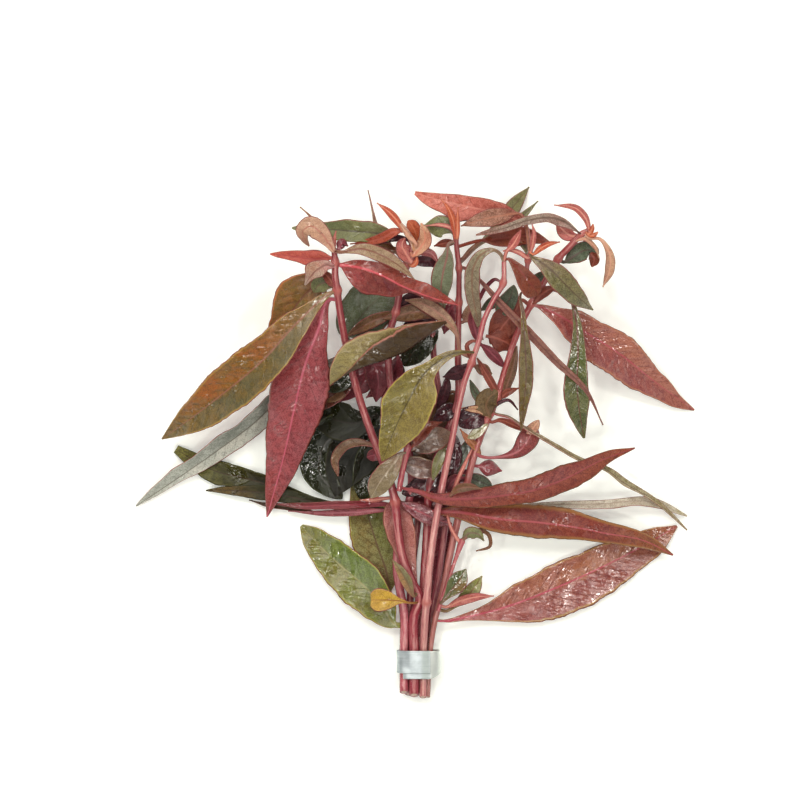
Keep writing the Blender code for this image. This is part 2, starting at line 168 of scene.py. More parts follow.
def material(name, **plain):
    """A new material with some plain values, its shader node and a Wire to start its sums from."""
    made = bpy.data.materials.new(name)
    made.use_nodes = True
    shader, start = made.node_tree.nodes["Principled BSDF"], Wire(made.node_tree)
    for title, value in plain.items():
        shader.inputs[title.replace("_", " ")].default_value = value
    return made, shader, start


def feed(shader, **wires):
    """Links what changes over a surface into the shader."""
    for title, wire in wires.items():
        wire.tree.links.new(wire.socket, shader.inputs[title.replace("_", " ")])


def show(name, mesh):
    thing = bpy.data.objects.new(name, mesh)
    bpy.context.scene.collection.objects.link(thing)
    return thing


table_white, shader, start = material(
    "table_white", Roughness=0.9, Specular_IOR_Level=0.1, Emission_Strength=1.0)
place = start.put("ShaderNodeTexCoord", out="Object")
paper = place.noise(600)
far_off = place.arrow("LENGTH", place, out=1).ease(GLOW_NEAR, GLOW_FAR)
feed(shader, Base_Color=paper.ease(0.3, 0.7).blend(colour("f0f4ee"), colour("f3f7f1")),
     Emission_Color=far_off.blend((0.194, 0.2, 0.19, 1), (0.61, 0.62, 0.6, 1)))

table_mesh = bpy.data.meshes.new("table")
table_mesh.from_pydata([(x * TABLE_HALF, y * TABLE_HALF, 0) for x, y in ((-1, -1), (1, -1), (1, 1), (-1, 1))],
                       [], [(0, 1, 2, 3)])
table_mesh.materials.append(table_white)
table = show("table", table_mesh)

world = bpy.data.worlds.new("room")
world.use_nodes = True
sky = Wire(world.node_tree)
height = sky.put("ShaderNodeTexCoord", out="Generated").apart()[2]
walls, ceiling = [sky.put("ShaderNodeBackground", None, {"Color": ROOM_LIGHT, "Strength": glow})
                  for glow in (WALL_GLOW, CEILING_GLOW)]
room = sky.put("ShaderNodeMixShader", None, {0: height.ease(0.05, 0.8), 1: walls, 2: ceiling})
sky.tree.links.new(room.socket, sky.tree.nodes["World Output"].inputs["Surface"])
bpy.context.scene.world = world
bpy.context.scene.view_settings.view_transform = "Standard"


def lamp(name, size, energy, place):
    light = bpy.data.lights.new(name, "AREA")
    light.shape, light.size = "SQUARE", size
    light.energy, light.color = energy, LAMP_COLOUR
    thing = show(name, light)
    thing.location = place
    thing.rotation_euler = (Vector((0, 0, 0)) - Vector(place)).to_track_quat("-Z", "Y").to_euler()


lamp("broad_lamp", 0.8, 8.0, (-0.35, 0.75, LAMP_HEIGHT))
for i in range(SPARK_LAMPS):
    turn = 2 * math.pi * i / SPARK_LAMPS
    out = SPARK_RINGS[i % len(SPARK_RINGS)]
    lamp(f"spark_lamp_{i}", 0.1, 1.45, (out * math.cos(turn), out * math.sin(turn), LAMP_HEIGHT))

lens = bpy.data.cameras.new("camera")
lens.sensor_width = 36
lens.lens = lens.sensor_width * EYE / (FRAME_SIDE * PIXEL)
lens.clip_start, lens.clip_end = 0.01, 100
camera = show("camera", lens)
camera.location = (*spot(*FRAME_MIDDLE, 0)[:2], EYE)
bpy.context.scene.camera = camera

# The stems. Seven cut shoots of a soft red water plant, round and faintly ribbed, swollen where each pair
# of leaves sits. They lie side by side through the strip and spread above it. Three side shoots fork off.
STEM_STEP = 0.8 * MM
STEM_ROUND = 20  # points round a stem
RIB_DEPTH, RIB_TWIST = 0.035, 60  # a share of the radius, and radians a metre
LUMP_DEPTH = 0.16
SWELLING = 1.5 * MM  # how far along the stem a leaf joint reaches
JOINT_LEAST = 0.2  # mm that a joint is thicker than its neighbours
CUT_REACH = 3.0 * MM
LOW_END, HIGH_START = 20, 150  # mm up the stem where its lower colour starts to fade, and is gone


def smooth_path(rows, at):
    """Rows of a smooth curve through the given rows, at the given distances along it from 0 to 1."""
    rows = np.array(rows, float)
    steps = np.linalg.norm(np.diff(rows[:, :3], axis=0), axis=1)
    knots = np.concatenate([[0], np.cumsum(steps)]) / steps.sum()
    slopes = np.diff(rows, axis=0) / np.diff(knots)[:, None]
    tangents = np.empty_like(rows)
    tangents[0], tangents[-1] = slopes[0], slopes[-1]
    before, after = np.diff(knots)[:-1, None], np.diff(knots)[1:, None]
    tangents[1:-1] = (slopes[:-1] * after + slopes[1:] * before) / (before + after)
    span = np.clip(np.searchsorted(knots, at, side="right") - 1, 0, len(steps) - 1)
    length = np.diff(knots)[span][:, None]
    part = (np.asarray(at)[:, None] - knots[span][:, None]) / length
    return (
        rows[span] * (2 * part**3 - 3 * part**2 + 1)
        + tangents[span] * length * (part**3 - 2 * part**2 + part)
        + rows[span + 1] * (3 * part**2 - 2 * part**3)
        + tangents[span + 1] * length * (part**3 - part**2)
    )


def heading(rows, at, near):
    """The way that the smooth curve runs, read off from near before to near after each place."""
    ahead = smooth_path(rows, np.clip(at + near, 0, 1)) - smooth_path(rows, np.clip(at - near, 0, 1))
    return ahead[:, :3] / np.linalg.norm(ahead[:, :3], axis=1)[:, None]


def spine(points, **facts):
    """A line of edges through the points, with a fact of each point in an attribute of that name."""
    mesh = bpy.data.meshes.new("spine")
    mesh.from_pydata([tuple(p) for p in points], [(i, i + 1) for i in range(len(points) - 1)], [])
    for name, values in {"spine": points, **facts}.items():
        values = np.asarray(values, float)
        kind, slot = ("FLOAT", "value") if values.ndim == 1 else ("FLOAT_VECTOR", "vector")
        mesh.attributes.new(name, kind, "POINT").data.foreach_set(slot, values.ravel())
    return mesh


def grow_tree(name, inputs):
    """A Geometry Nodes tree that skins a spine with a ring of points.

    It comes with its inputs, the skin, the share of the way round it, fact() to read the spine's facts, and
    the way the spine runs with the directions sideways from and up from it.
    """
    tree = bpy.data.node_groups.new(name, "GeometryNodeTree")
    tree.interface.new_socket("Spine", in_out="INPUT", socket_type="NodeSocketGeometry")
    for title, kind in inputs.items():
        tree.interface.new_socket(title, in_out="INPUT", socket_type="NodeSocket" + kind)
    tree.interface.new_socket("Mesh", in_out="OUTPUT", socket_type="NodeSocketGeometry")
    start = Wire(tree).put("NodeGroupInput", out=0)
    given = {title: start.also(title) for title in inputs}
    ring = start.put("GeometryNodeCurvePrimitiveCircle", None, {"Resolution": given["Around"]})
    turn = start.put("GeometryNodeSplineParameter", None, None, "Factor")
    ring = start.put("GeometryNodeCaptureAttribute", {"captured": "FLOAT"}, {0: ring, 1: turn})
    line = start.put("GeometryNodeMeshToCurve", None, {0: start})
    skin = start.put("GeometryNodeCurveToMesh", None, {
        "Curve": line, "Profile Curve": ring, "Fill Caps": True})

    def fact(title, kind="FLOAT"):
        return start.put("GeometryNodeInputNamedAttribute", {"data_type": kind}, {"Name": title})

    way = fact("way", "FLOAT_VECTOR")
    side = way.arrow("NORMALIZE", way.arrow("CROSS_PRODUCT", way, (0, 0, 1)))
    up = way.arrow("CROSS_PRODUCT", side, way)
    return tree, given, skin, ring.also(1), fact, way, side, up


def end_tree(skin, place, kept, finish):
    """Moves the skin to its place, keeps the facts that its material reads, and closes the tree."""
    skin = skin.put("GeometryNodeSetPosition", None, {"Geometry": skin, "Position": place})
    for title, (kind, value) in kept.items():
        skin = skin.put("GeometryNodeStoreNamedAttribute", {"data_type": kind},
                        {"Geometry": skin, "Name": title, "Value": value})
    skin = skin.put("GeometryNodeSetShadeSmooth", None, {0: skin})
    skin = skin.put("GeometryNodeRealizeInstances", None, {0: skin})
    skin = skin.put("GeometryNodeSetMaterial", None, {"Geometry": skin, "Material": finish})
    skin.put("NodeGroupOutput", None, {0: skin}, out=None)


def grow(name, mesh, tree, values):
    """The plain mesh that the tree makes of a spine, as an object."""
    line = show(name + "_spine", mesh)
    maker = line.modifiers.new("grow", "NODES")
    maker.node_group = tree
    for item in tree.interface.items_tree:
        if item.in_out == "INPUT" and item.name in values:
            maker[item.identifier] = values[item.name]
    seen = line.evaluated_get(bpy.context.evaluated_depsgraph_get())
    made = bpy.data.meshes.new_from_object(seen)
    made.name = name
    bpy.data.objects.remove(line, do_unlink=True)
    bpy.data.meshes.remove(mesh)
    return show(name, made)


def hang(piece, node=None):
    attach(piece, "root")
    if node:
        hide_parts(node)


stem_tree, given, skin, turn, fact, way, side, up = grow_tree("stem", {
    "Around": "Int", "Ribs": "Float", "Rib depth": "Float", "Seed": "Float", "Finish": "Material",
})
along = fact("mark")
angle = turn * (2 * math.pi)
east, north = angle.turned("COSINE"), angle.turned("SINE")
ribs = (angle * given["Ribs"] + given["Seed"] + along * RIB_TWIST).turned("SINE") * given["Rib depth"]
lumps = way.whole(east, north, along * 250 + given["Seed"]).noise(1.3, 1.0)
reach = fact("girth") * (1 + ribs + (lumps - 0.5) * LUMP_DEPTH)
place = (fact("spine", "FLOAT_VECTOR") + side * (east * reach) + up * (north * reach)
         + way * (fact("slant") * north * reach))
end_tree(skin, place, {
    "skin": ("FLOAT_VECTOR", way.whole(east, north, along * 1000)),
    "face": ("FLOAT", fact("face")),
    "joint": ("FLOAT", fact("joint")),
}, given["Finish"])


def stem_paint(name, low, high, pale, joint):
    """The red skin of a stem: streaked along it, darker and paler in turns, with a dull cut face, a painted
    highlight along its top and painted shade on its flanks.
    """
    made, shader, start = material(name, Specular_IOR_Level=0.55)
    skin, knot, face = [start.put("ShaderNodeAttribute", {"attribute_name": title}, out=out)
                        for title, out in (("skin", "Vector"), ("joint", "Fac"), ("face", "Fac"))]
    east, north, along = skin.apart()
    streak = start.whole(east, north, along * 0.05)
    wide, fine = streak.noise(1.6, 3.0), streak.noise(7.0, 4.0)
    specks = start.whole(east * 2, north * 2, along).noise(2.2, 2.0)
    skin = along.ease(LOW_END, HIGH_START).blend(colour(low), colour(high))
    skin = (wide.ease(0.48, 0.72) * 0.55).blend(skin, colour(pale))
    skin = (fine.ease(0.45, 0.65) * 0.5).blend(skin, colour("6a2028"))
    skin = (specks.ease(0.6, 0.74) * 0.3).blend(skin, colour(pale))
    # Painted highlight: a pale line along the top of the stem.
    skin = (north.ease(0.93, 0.99) * fine.ease(0.3, 0.55) * 0.45).blend(skin, colour(pale))
    # Painted shade: the stem darkens towards its flanks.
    skin = ((1 - north.turned("ABSOLUTE")).ease(0.35, 0.95) * 0.55).blend(skin, colour("54161c"))
    skin = (knot * (wide.ease(0.2, 0.6) * 0.5 + 0.4)).blend(skin, colour(joint))
    cut = wide.ease(0.3, 0.7).blend(colour("b89a80"), colour("8c5a50"))
    feed(shader, Base_Color=face.ease(0.2, 0.6).blend(skin, cut), Roughness=fine * 0.16 + 0.05 + face * 0.3,
         Normal=start.put("ShaderNodeBump", None, {
             "Strength": 0.5, "Distance": 0.3 * MM, "Height": fine + specks * 0.6}))
    return made


stem_lines = {}


def stem(name, route, low, high, pale="c88a84", joint="a85850", slant=0.5):
    """A stem along points (across, down, height mm, radius mm), with its lower and its upper colour.

    A point that is thicker than its neighbours is a joint.
    """
    rows = np.array([(*spot(*row[:3]), row[3] * MM) for row in route])
    joints = []
    for i in range(1, len(rows) - 1):
        plain = (rows[i - 1, 3] + rows[i + 1, 3]) / 2
        if route[i][3] - plain / MM > JOINT_LEAST:
            joints.append((rows[i, :3].copy(), rows[i, 3] - plain))
            rows[i, 3] = plain
    length = np.linalg.norm(np.diff(rows[:, :3], axis=0), axis=1).sum()
    at = np.linspace(0, 1, round(length / STEM_STEP) + 1)
    path = smooth_path(rows, at)
    path = np.concatenate([path[:1], path, path[-1:], path[-1:]])
    at = np.concatenate([[0], at, [1, 1]])
    ahead = heading(rows, at, 0.003)
    radius, joint_share = path[:, 3].copy(), np.zeros(len(path))
    for middle, more in joints:
        near = np.exp(-(np.linalg.norm(path[:, :3] - middle, axis=1) / SWELLING) ** 2)
        radius += more * near
        joint_share = np.maximum(joint_share, near)
    path[-2:, :3] += ahead[-2:] * radius[-2:, None] * np.array([[0.5], [0.8]])
    radius[-3:] *= (1, 0.75, 0.05)
    radius[0] *= 0.05
    face = np.zeros(len(path))
    face[0] = 1
    marks = at * length
    stem_lines[name] = path[2:-2, :3]
    mesh = spine(path[:, :3], way=ahead, girth=radius, mark=marks, face=face, joint=joint_share,
                 slant=slant * np.clip(1 - marks / CUT_REACH, 0, 1))
    hang(grow(name + "_skin", mesh, stem_tree, {
        "Around": STEM_ROUND, "Ribs": 5.0, "Rib depth": RIB_DEPTH, "Seed": len(stem_lines) * 1.7,
        "Finish": stem_paint(name + "_red", low, high, pale, joint),
    }), name)


stem("left_stem", [
    (404, 692, 6.2, 1.85), (404, 650, 6.3, 1.85), (404, 612, 7.5, 1.85), (400, 590, 8, 1.75),
    (397, 570, 8, 1.7), (399, 540, 8.5, 1.65), (406, 512, 9, 1.6), (411, 490, 9.5, 1.6),
    (407, 445, 12, 1.6), (394, 405, 15, 1.6), (389, 370, 19, 1.5), (389, 335, 23, 1.45),
    (396, 312, 26, 1.9), (400, 290, 30, 1.4), (407, 264, 35, 1.8), (412, 248, 39, 1.1),
], "a8505a", "84323a", pale="d49c98")
stem("middle_stem", [
    (414, 695, 7.0, 2.05), (414, 650, 7.0, 2.05), (414.5, 615, 9, 1.95), (420, 598, 10.5, 2.0),
    (414, 585, 12, 1.7), (404, 562, 14, 1.7), (398, 530, 15.5, 1.75), (395, 502, 17, 2.3),
    (389, 478, 18, 1.7), (378, 450, 20, 1.75), (366, 418, 23, 1.6), (353, 375, 29, 1.5),
    (345, 340, 34, 1.45), (340, 312, 38, 1.4), (337, 290, 41, 2.0), (335, 276, 43, 1.4),
    (335, 262, 44, 1.8), (334, 249, 46, 1.1),
], "8c2c38", "802a30")
stem("front_stem", [
    (423, 697, 6.9, 1.4), (423.5, 650, 7.0, 1.45), (425, 618, 11, 1.55), (426.5, 602, 14, 2.1),
    (429.5, 565, 16.5, 1.55), (436, 520, 18.5, 1.5), (443.5, 480, 20, 1.4), (452, 440, 23, 1.3),
    (460, 400, 27, 1.2), (465, 380, 29, 1.2), (471.5, 362, 31, 1.7), (479, 340, 33, 1.1),
    (484, 320, 35, 1.05), (493.5, 300, 37, 1.0), (503, 283, 39, 1.6), (504, 262, 41, 1.0),
], "b4706e", "a0464c", pale="e4b8ac")
stem("back_stem", [
    (418.5, 694, 2.9, 1.6), (419, 650, 2.9, 1.6), (421, 612, 5, 1.6), (424, 575, 7, 1.6),
    (427, 530, 9, 1.6), (429, 490, 11, 1.6), (438, 455, 13.5, 1.6), (452, 420, 15.5, 1.6),
    (458, 400, 16.5, 1.55), (458, 370, 18, 1.4), (458, 340, 20, 1.3), (459, 302, 25, 1.6),
    (459, 285, 28, 1.1), (459, 268, 31, 1.55), (457, 250, 34, 1.05), (456, 236, 37, 1.3),
    (456, 227, 39, 0.9),
], "8c2c38", "803034")
stem("right_stem", [
    (427.5, 697, 4.3, 1.05), (430.3, 650, 5.9, 1.1), (435, 620, 8, 1.25), (443, 590, 9, 1.4),
    (450, 555, 10.5, 1.4), (459, 515, 13, 1.5), (467, 483, 16, 1.5), (474, 455, 18, 1.5),
    (482, 432, 20, 1.5), (490, 413, 22, 2.0), (497, 396, 23.5, 1.7), (505, 370, 25, 1.25),
    (513, 345, 26, 1.25), (523, 320, 27.5, 1.25), (532, 303, 29, 1.8), (542, 286, 31, 1.15),
    (550, 272, 33, 1.15), (558, 259, 35, 1.8), (570, 246, 37.5, 1.3), (582, 234, 40, 1.4),
    (588, 230, 41, 0.9),
], "985c54", "903838")
stem("slim_stem", [
    (424.5, 694, 2.2, 1.1), (428.5, 650, 2.5, 1.3), (432, 612, 4.5, 1.4), (437, 585, 6, 1.4),
    (442, 550, 7, 1.4), (447, 515, 8, 1.4), (452, 490, 8.5, 1.4), (452, 460, 8.5, 1.4),
    (446, 425, 8.5, 1.35), (438, 385, 10, 1.3), (433, 345, 15, 1.3), (433, 318, 18, 1.3),
    (436, 295, 22, 1.6),
], "843844", "743038")
stem("low_stem", [
    (409, 694, 2.9, 1.6), (409, 650, 2.9, 1.6), (410, 600, 4, 1.55), (413, 560, 4.5, 1.5),
    (418, 520, 5, 1.5), (419, 490, 5.5, 1.5), (417, 460, 6.5, 1.5), (405, 420, 8.5, 1.4),
    (385, 395, 10.5, 1.4), (370, 370, 12, 1.35), (362, 345, 14, 1.6),
], "74303a", "6a2830")
stem("side_shoot_left", [
    (399, 491, 20.5, 1.1), (401, 478, 21.5, 1.2), (404, 463, 22, 1.2), (408, 447, 23, 1.6),
], "a84450", "a04a50", slant=0)
stem("side_shoot_right", [
    (438, 611, 12, 0.85), (447, 585, 13.5, 0.8), (456, 558, 14.5, 0.8), (462, 541, 15, 1.4),
], "a84c54", "a4504c", slant=0)
stem("side_shoot_top", [
    (530, 294, 32, 0.9), (527, 282, 34, 0.9), (527, 270, 36.5, 0.9), (528, 260, 39, 1.5),
    (530, 252, 41, 0.7),
], "98403c", "b85c50", slant=0)


# The strip. One length of soft grey lead sheet, cut square and wound about one and a quarter turns over the
# stems by hand, so that the inner layer shows past the outer one at the right.
STRIP_WIDTH = 9.0 * MM
STRIP_THICK = 0.7 * MM
STRIP_TURN = 1.05 * MM  # how far out one turn brings the strip
STRIP_HALF_WIDE = 7.75 * MM
STRIP_HALF_HIGH = 4.55 * MM
STRIP_SQUARENESS = 2.6
STRIP_SLIP = 2.3 * MM  # how far the inner end shows beyond the outer layer
SLIP_START, SLIP_END = 20, 95  # degrees from the top, over to the right
STRIP_START, STRIP_END = -50, 387
STRIP_SETTLE = 0.12 * MM  # how far the wound strip is pressed down on the table
STRIP_ROWS, STRIP_STEP = 14, 2.5
DENT, WORN_EDGE = 0.12 * MM, 0.16 * MM
SHADED_BAND = 4.2 * MM  # how far right of the middle a band of painted shade runs on the outer layer, short of its end

lead_grey, shader, start = material("lead_grey", Metallic=1.0)
where = start.put("ShaderNodeTexCoord", out="Object")
rolled = where.noise(900, 4.0, stretch=(0.08, 1.6, 0.08))
cloud, pits = where.noise(220, 3.0), where.noise(2600, 2.0)
metal = cloud.ease(0.3, 0.7).blend(colour("a6aeb2"), colour("c2cacc"))
metal = (rolled.ease(0.5, 0.75) * 0.4).blend(metal, colour("8f9a9f"))
metal = (pits.ease(0.66, 0.78) * 0.3).blend(metal, colour("787f84"))
across = where.apart()[0]
off_shaded_band = (across - SHADED_BAND).turned("ABSOLUTE")
# Painted shade: a darker band on the outer layer, short of its end. Painted highlight: the strip is paler
# beyond it, where it turns down at the right.
metal = ((1 - off_shaded_band.ease(0.6 * MM, 2.3 * MM)) * 0.55).blend(metal, colour("8c968e"))
metal = (across.ease(5.6 * MM, 6.4 * MM) * 0.7).blend(metal, colour("e4e8e0"))
feed(shader, Base_Color=metal, Roughness=cloud * 0.2 + rolled * 0.18 + 0.32,
     Normal=start.put("ShaderNodeBump", None, {
         "Strength": 0.35, "Distance": 0.1 * MM, "Height": rolled + pits * 0.4 + cloud}))

strip_middle = spot(419, 660.3, 0)
strip_rise = STRIP_HALF_HIGH + STRIP_TURN / 2 + STRIP_THICK / 2 - STRIP_SETTLE


def strip_place(u, turn):
    """A point of the strip: u is -1 to 1 over its width, and turn is in degrees round the stems."""
    grown = STRIP_TURN * turn / 360
    east, north = math.sin(math.radians(turn)), math.cos(math.radians(turn))
    power = 2 / STRIP_SQUARENESS
    x = math.copysign(abs(east) ** power, east) * (STRIP_HALF_WIDE + grown)
    z = math.copysign(abs(north) ** power, north) * (STRIP_HALF_HIGH + grown)
    slip = min(1.0, max(0.0, (SLIP_END - turn) / (SLIP_END - SLIP_START)))
    along = u * STRIP_WIDTH / 2 - STRIP_SLIP * slip * slip * (3 - 2 * slip) * (0.55 - 0.45 * u)
    dent = DENT * math.sin(turn * 0.11 + 1.3 * u) + 0.08 * MM * abs(u) ** 6
    return (strip_middle[0] + x * (1 + dent / STRIP_HALF_WIDE), strip_middle[1] + along,
            max(strip_rise + z * (1 + dent / STRIP_HALF_HIGH), STRIP_THICK / 2))


turns = np.arange(STRIP_START, STRIP_END + 0.1, STRIP_STEP)
row = STRIP_ROWS + 1
strip_mesh = bpy.data.meshes.new("lead_strip_wound")
strip_mesh.from_pydata(
    [strip_place(2 * j / STRIP_ROWS - 1, turn) for turn in turns for j in range(row)], [],
    [(i * row + j, i * row + j + 1, (i + 1) * row + j + 1, (i + 1) * row + j)
     for i in range(len(turns) - 1) for j in range(STRIP_ROWS)])
strip_mesh.shade_smooth()
strip_mesh.materials.append(lead_grey)
strip = show("lead_strip_wound", strip_mesh)
wall = strip.modifiers.new("wall", "SOLIDIFY")
wall.thickness, wall.offset = STRIP_THICK, 0
worn = strip.modifiers.new("worn_edges", "BEVEL")
worn.width, worn.segments, worn.limit_method = WORN_EDGE, 2, "ANGLE"
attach(strip, "root")
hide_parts("lead_strip")

# The leaves. Each is one soft lance-shaped blade on a short stalk, thickest along the midrib, quilted
# between its side veins and wet from the tank. They sit in pairs at the joints of the stems.
LEAF_STEP = 0.9 * MM
LEAF_THICK = 0.34 * MM
FULL_WIDTH = 14  # mm, of a leaf that is as wavy and quilted as its kind can be
LEAST_ROUND, MOST_ROUND, ROUND_STEP = 9, 26, 0.75  # points across a leaf, and mm between them
STALK_SHARE = 0.07
STALK_HALF = 0.75 * MM
TIP_HALF = 0.3 * MM
CORE_SHARES, CORE_HALVES = (0, 0.08, 0.3, 1), (0.62, 0.55, 0.3, 0.06)  # mm, of the midrib's thick core
NICK_SIZE, NICK_DEPTH = 330, 0.16  # nicks in the margin, a metre and as a share of the half width
VEIN_GAP = 5.2 * MM
VEIN_LEAN = 1.1  # how much further along the leaf a vein is, for each step out
VEIN_BEND = 40  # and how much more for each step squared
GROOVE_DEPTH = 0.16 * MM  # of the midrib, seen from above
JOIN_REACH = 6.5 * MM

blade_tree, given, skin, turn, fact, way, side, up = grow_tree("blade", {
    "Around": "Int", "Fold": "Float", "Curl": "Float", "Wave": "Float", "Wave length": "Float",
    "Vein depth": "Float", "Crumple": "Float", "Seed": "Float", "Finish": "Material",
})
along, share, body, core = fact("mark"), fact("share"), fact("body"), fact("core")
across = (turn * 2 - 1).turned("ABSOLUTE") * 2 - 1
upper = turn.sum("GREATER_THAN", turn, 0.5)
hand, out_share = across.turned("SIGN"), across.turned("ABSOLUTE")
half = fact("left") + (fact("right") - fact("left")) * across.sum("GREATER_THAN", across, 0.0)
lift = fact("roll") + hand * (given["Fold"] + given["Curl"] * out_share * 0.5)
outward = side * lift.turned("COSINE") + up * lift.turned("SINE")
facing = up * lift.turned("COSINE") - side * lift.turned("SINE")
nicks = way.whole(along * NICK_SIZE, hand * 3, given["Seed"]).noise(1.0, 1.0)
from_rib = across * half * ((nicks - 0.5) * NICK_DEPTH * body + 1)
distance = from_rib.turned("ABSOLUTE")
veins = along - distance * VEIN_LEAN - distance * distance * VEIN_BEND + hand * (VEIN_GAP * 0.22)
veins = veins / VEIN_GAP
ridge = ((veins * (2 * math.pi)).turned("COSINE") * 0.5 + 0.5) ** 2
quilt = (ridge * given["Vein depth"] * out_share.ease(0.02, 0.2) * (1 - out_share.ease(0.6, 0.95))
         * body)
swing = along / given["Wave length"] * (2 * math.pi) + given["Seed"] + hand * 1.3
wave = ((swing.turned("SINE") + (swing * 1.73 + hand).turned("SINE") * 0.5) * given["Wave"]
        * out_share ** 2 * body)
crumple = (way.whole(from_rib, along, given["Seed"]).noise(110, 2.0) - 0.5) * given["Crumple"] * body
near_rib = distance / (core * 0.6 + 0.25 * MM)
rib = (near_rib * near_rib * -1).turned("EXPONENT")
rim = (1 - out_share * out_share).turned("SQRT")
wall = rim * (core * (1 - body) * 0.8 + LEAF_THICK / 2)
top = wall - rib * body * GROOVE_DEPTH
bottom = wall + rib * core * body * 0.7
lifted = wave + crumple - quilt + upper * top - (1 - upper) * bottom
place = fact("spine", "FLOAT_VECTOR") + outward * from_rib + facing * lifted
x, y, z = place.apart()
end_tree(skin, place.whole(x, y, z.sum("MAXIMUM", z, 0.06 * MM)), {
    "share": ("FLOAT_VECTOR", way.whole(across, share, upper)),
    "place": ("FLOAT_VECTOR", way.whole(from_rib * 1000, along * 1000, veins)),
}, given["Finish"])

# Each side has eight colours: left half, right half, base, tip, midrib, margin, veins and blotches.
HIDDEN_UNDER = "8a4446 8a4446 96484e 8a4a44 b06068 8a4a44 743038 9a5a58"
HIDDEN_UPPER = "6b4a34 6b4a34 7a4a3c 705038 8a5048 80603c 54382a 7a5a3c"
SKINS = {
    "ember": "b04830 a8442c b85844 a04030 d08468 a85038 8a3424 c06c48",
    "rose": "a8524c 9c4a44 b05858 9c4840 cc8c7c b06860 7c363a b87064",
    "blush": "b88468 a87460 b06858 9a6a58 c8947c b08a78 8a5a50 c4a080",
    "brick": "723323 642a1d 6b2b23 783626 8a483b 78402d 4f1d16 7f402d",
    "maroon": "64262e 5a2028 702e36 642a2c 86404a 5e2428 481820 783a40",
    "umber": "6a4630 5a3c2a 6a4038 705038 7a5040 7a5a3c 42301f 7c5c40",
    "moss": "6c6c44 5f6240 6a5a44 747448 6a5444 8a8050 50523a 828458",
    "ivy": "20220f 1c1f0f 242212 2e3018 2c241a 383a20 0f100a 2c3220",
    "plum": "3c1c22 341820 44222a 3c1e22 52282e 3c1e24 240e12 542e34",
    "fern": "4c5444 444e3c 504838 545c48 504038 5c6048 2e3626 646e56",
    "fawn": "8a6450 7a5848 84504a 86684e 946656 947060 64463a a08468",
}


def blade_paint(name, upper, under, wet, rim, drops):
    """The skin of a leaf on both sides, from eight colours for each."""
    made, shader, start = material(name, Specular_IOR_Level=0.1 + 0.7 * wet)
    across, along, top = start.put("ShaderNodeAttribute", {"attribute_name": "share"}, out="Vector").apart()
    from_rib, reach, veins = start.put(
        "ShaderNodeAttribute", {"attribute_name": "place"}, out="Vector").apart()
    top = top.ease(0.3, 0.7)
    where = start.put("ShaderNodeTexCoord", out="Object")
    left, right, base, tip, rib, margin, vein, blotch = [
        top.blend(colour(one), colour(other)) for one, other in zip(under.split(), upper.split())]
    out_share, out = across.turned("ABSOLUTE"), from_rib.turned("ABSOLUTE")
    drift, blots = where.noise(45, 2.0), where.noise(140, 3.0)
    mottle, grain = where.noise(520, 4.0), where.noise(2400, 3.0)
    skin = (across + (blots - 0.5) * 0.6).ease(-0.15, 0.15).blend(left, right)
    skin = ((1 - (along + (blots - 0.5) * 0.2).ease(0.05, 0.42)) * 0.8).blend(skin, base)
    skin = ((along + (blots - 0.5) * 0.3).ease(0.62, 1.0) * 0.85).blend(skin, tip)
    skin = (drift.ease(0.47, 0.58) * 0.35 + blots.ease(0.48, 0.58) * 0.4).blend(skin, blotch)
    skin = (mottle.ease(0.5, 0.62) * 0.4).blend(skin, vein)
    skin = ((1 - mottle.ease(0.38, 0.47)) * 0.3).blend(skin, blotch)
    skin = (grain.ease(0.5, 0.62) * 0.55).blend(skin, vein)
    skin = ((1 - grain.ease(0.38, 0.48)) * 0.5).blend(skin, blotch)
    line = ((veins + (mottle - 0.5) * 0.5 + (blots - 0.5) * 0.5).turned("FRACT") - 0.5).turned("ABSOLUTE")
    line = (line.ease(0.44, 0.5) * (1 - out_share.ease(0.6, 0.95)) * along.ease(0.06, 0.16)
            * blots.ease(0.35, 0.55))
    skin = (line * 0.55).blend(skin, vein)
    net = start.put("ShaderNodeTexVoronoi", {"feature": "DISTANCE_TO_EDGE"}, {
        "Vector": start.whole(from_rib, reach * 0.75 + (mottle - 0.5) * 1.6, 0.0), "Scale": 0.75})
    threads = 1 - net.ease(0.0, 0.16)
    skin = (threads * 0.12).blend(skin, vein)
    skin = ((1 - (out / (1.0 - along * 0.75)).ease(0.25, 0.75)) * 0.85).blend(skin, rib)
    edge = (out_share + (mottle - 0.5) * 0.06).ease(0.96 - rim, 1.0 - rim * 0.4)
    skin = (edge * 0.8).blend(skin, margin)
    film = (drift * 0.5 + blots * 0.5).ease(0.53 - 0.12 * wet, 0.59 - 0.12 * wet)
    pool = film * 0.0
    for middle, wide in drops:
        flat = where.arrow("MULTIPLY", where - middle, (1, 1, 0))
        far = flat.arrow("LENGTH", flat, out=1) + (blots - 0.5) * (wide * 0.8)
        pool = pool.sum("MAXIMUM", pool, 1 - far.ease(wide * 0.5, wide))
    film = film.sum("MAXIMUM", film, pool)
    dull = 0.55 - 0.4 * wet
    creases = start.whole(out * 0.28, reach - out * 1.1, across.turned("SIGN") * 5).noise(0.26, 1.0)
    fold = (creases - 0.5).turned("ABSOLUTE")
    lively = where.noise(80, 1.0).ease(0.5, 0.6) * (0.2 + 0.4 * wet)
    ripple = where.noise(300, 0.8) - 0.5
    height = (line * -0.12 + threads * -0.03 + (where.noise(140, 0.6) - 0.5) * (lively * 0.6 + 0.3)
              + ripple * (lively * 0.4 + pool * 1.9) + creases * 0.25
              + (1 - fold.ease(0.0, 0.16)) * (film * (0.02 + 0.06 * wet) + pool * 0.18))
    feed(shader, Base_Color=skin, Roughness=dull - film * (dull - 0.06),
         Normal=start.put("ShaderNodeBump", None, {"Strength": 1.0, "Distance": 1.0 * MM, "Height": height}))
    return made


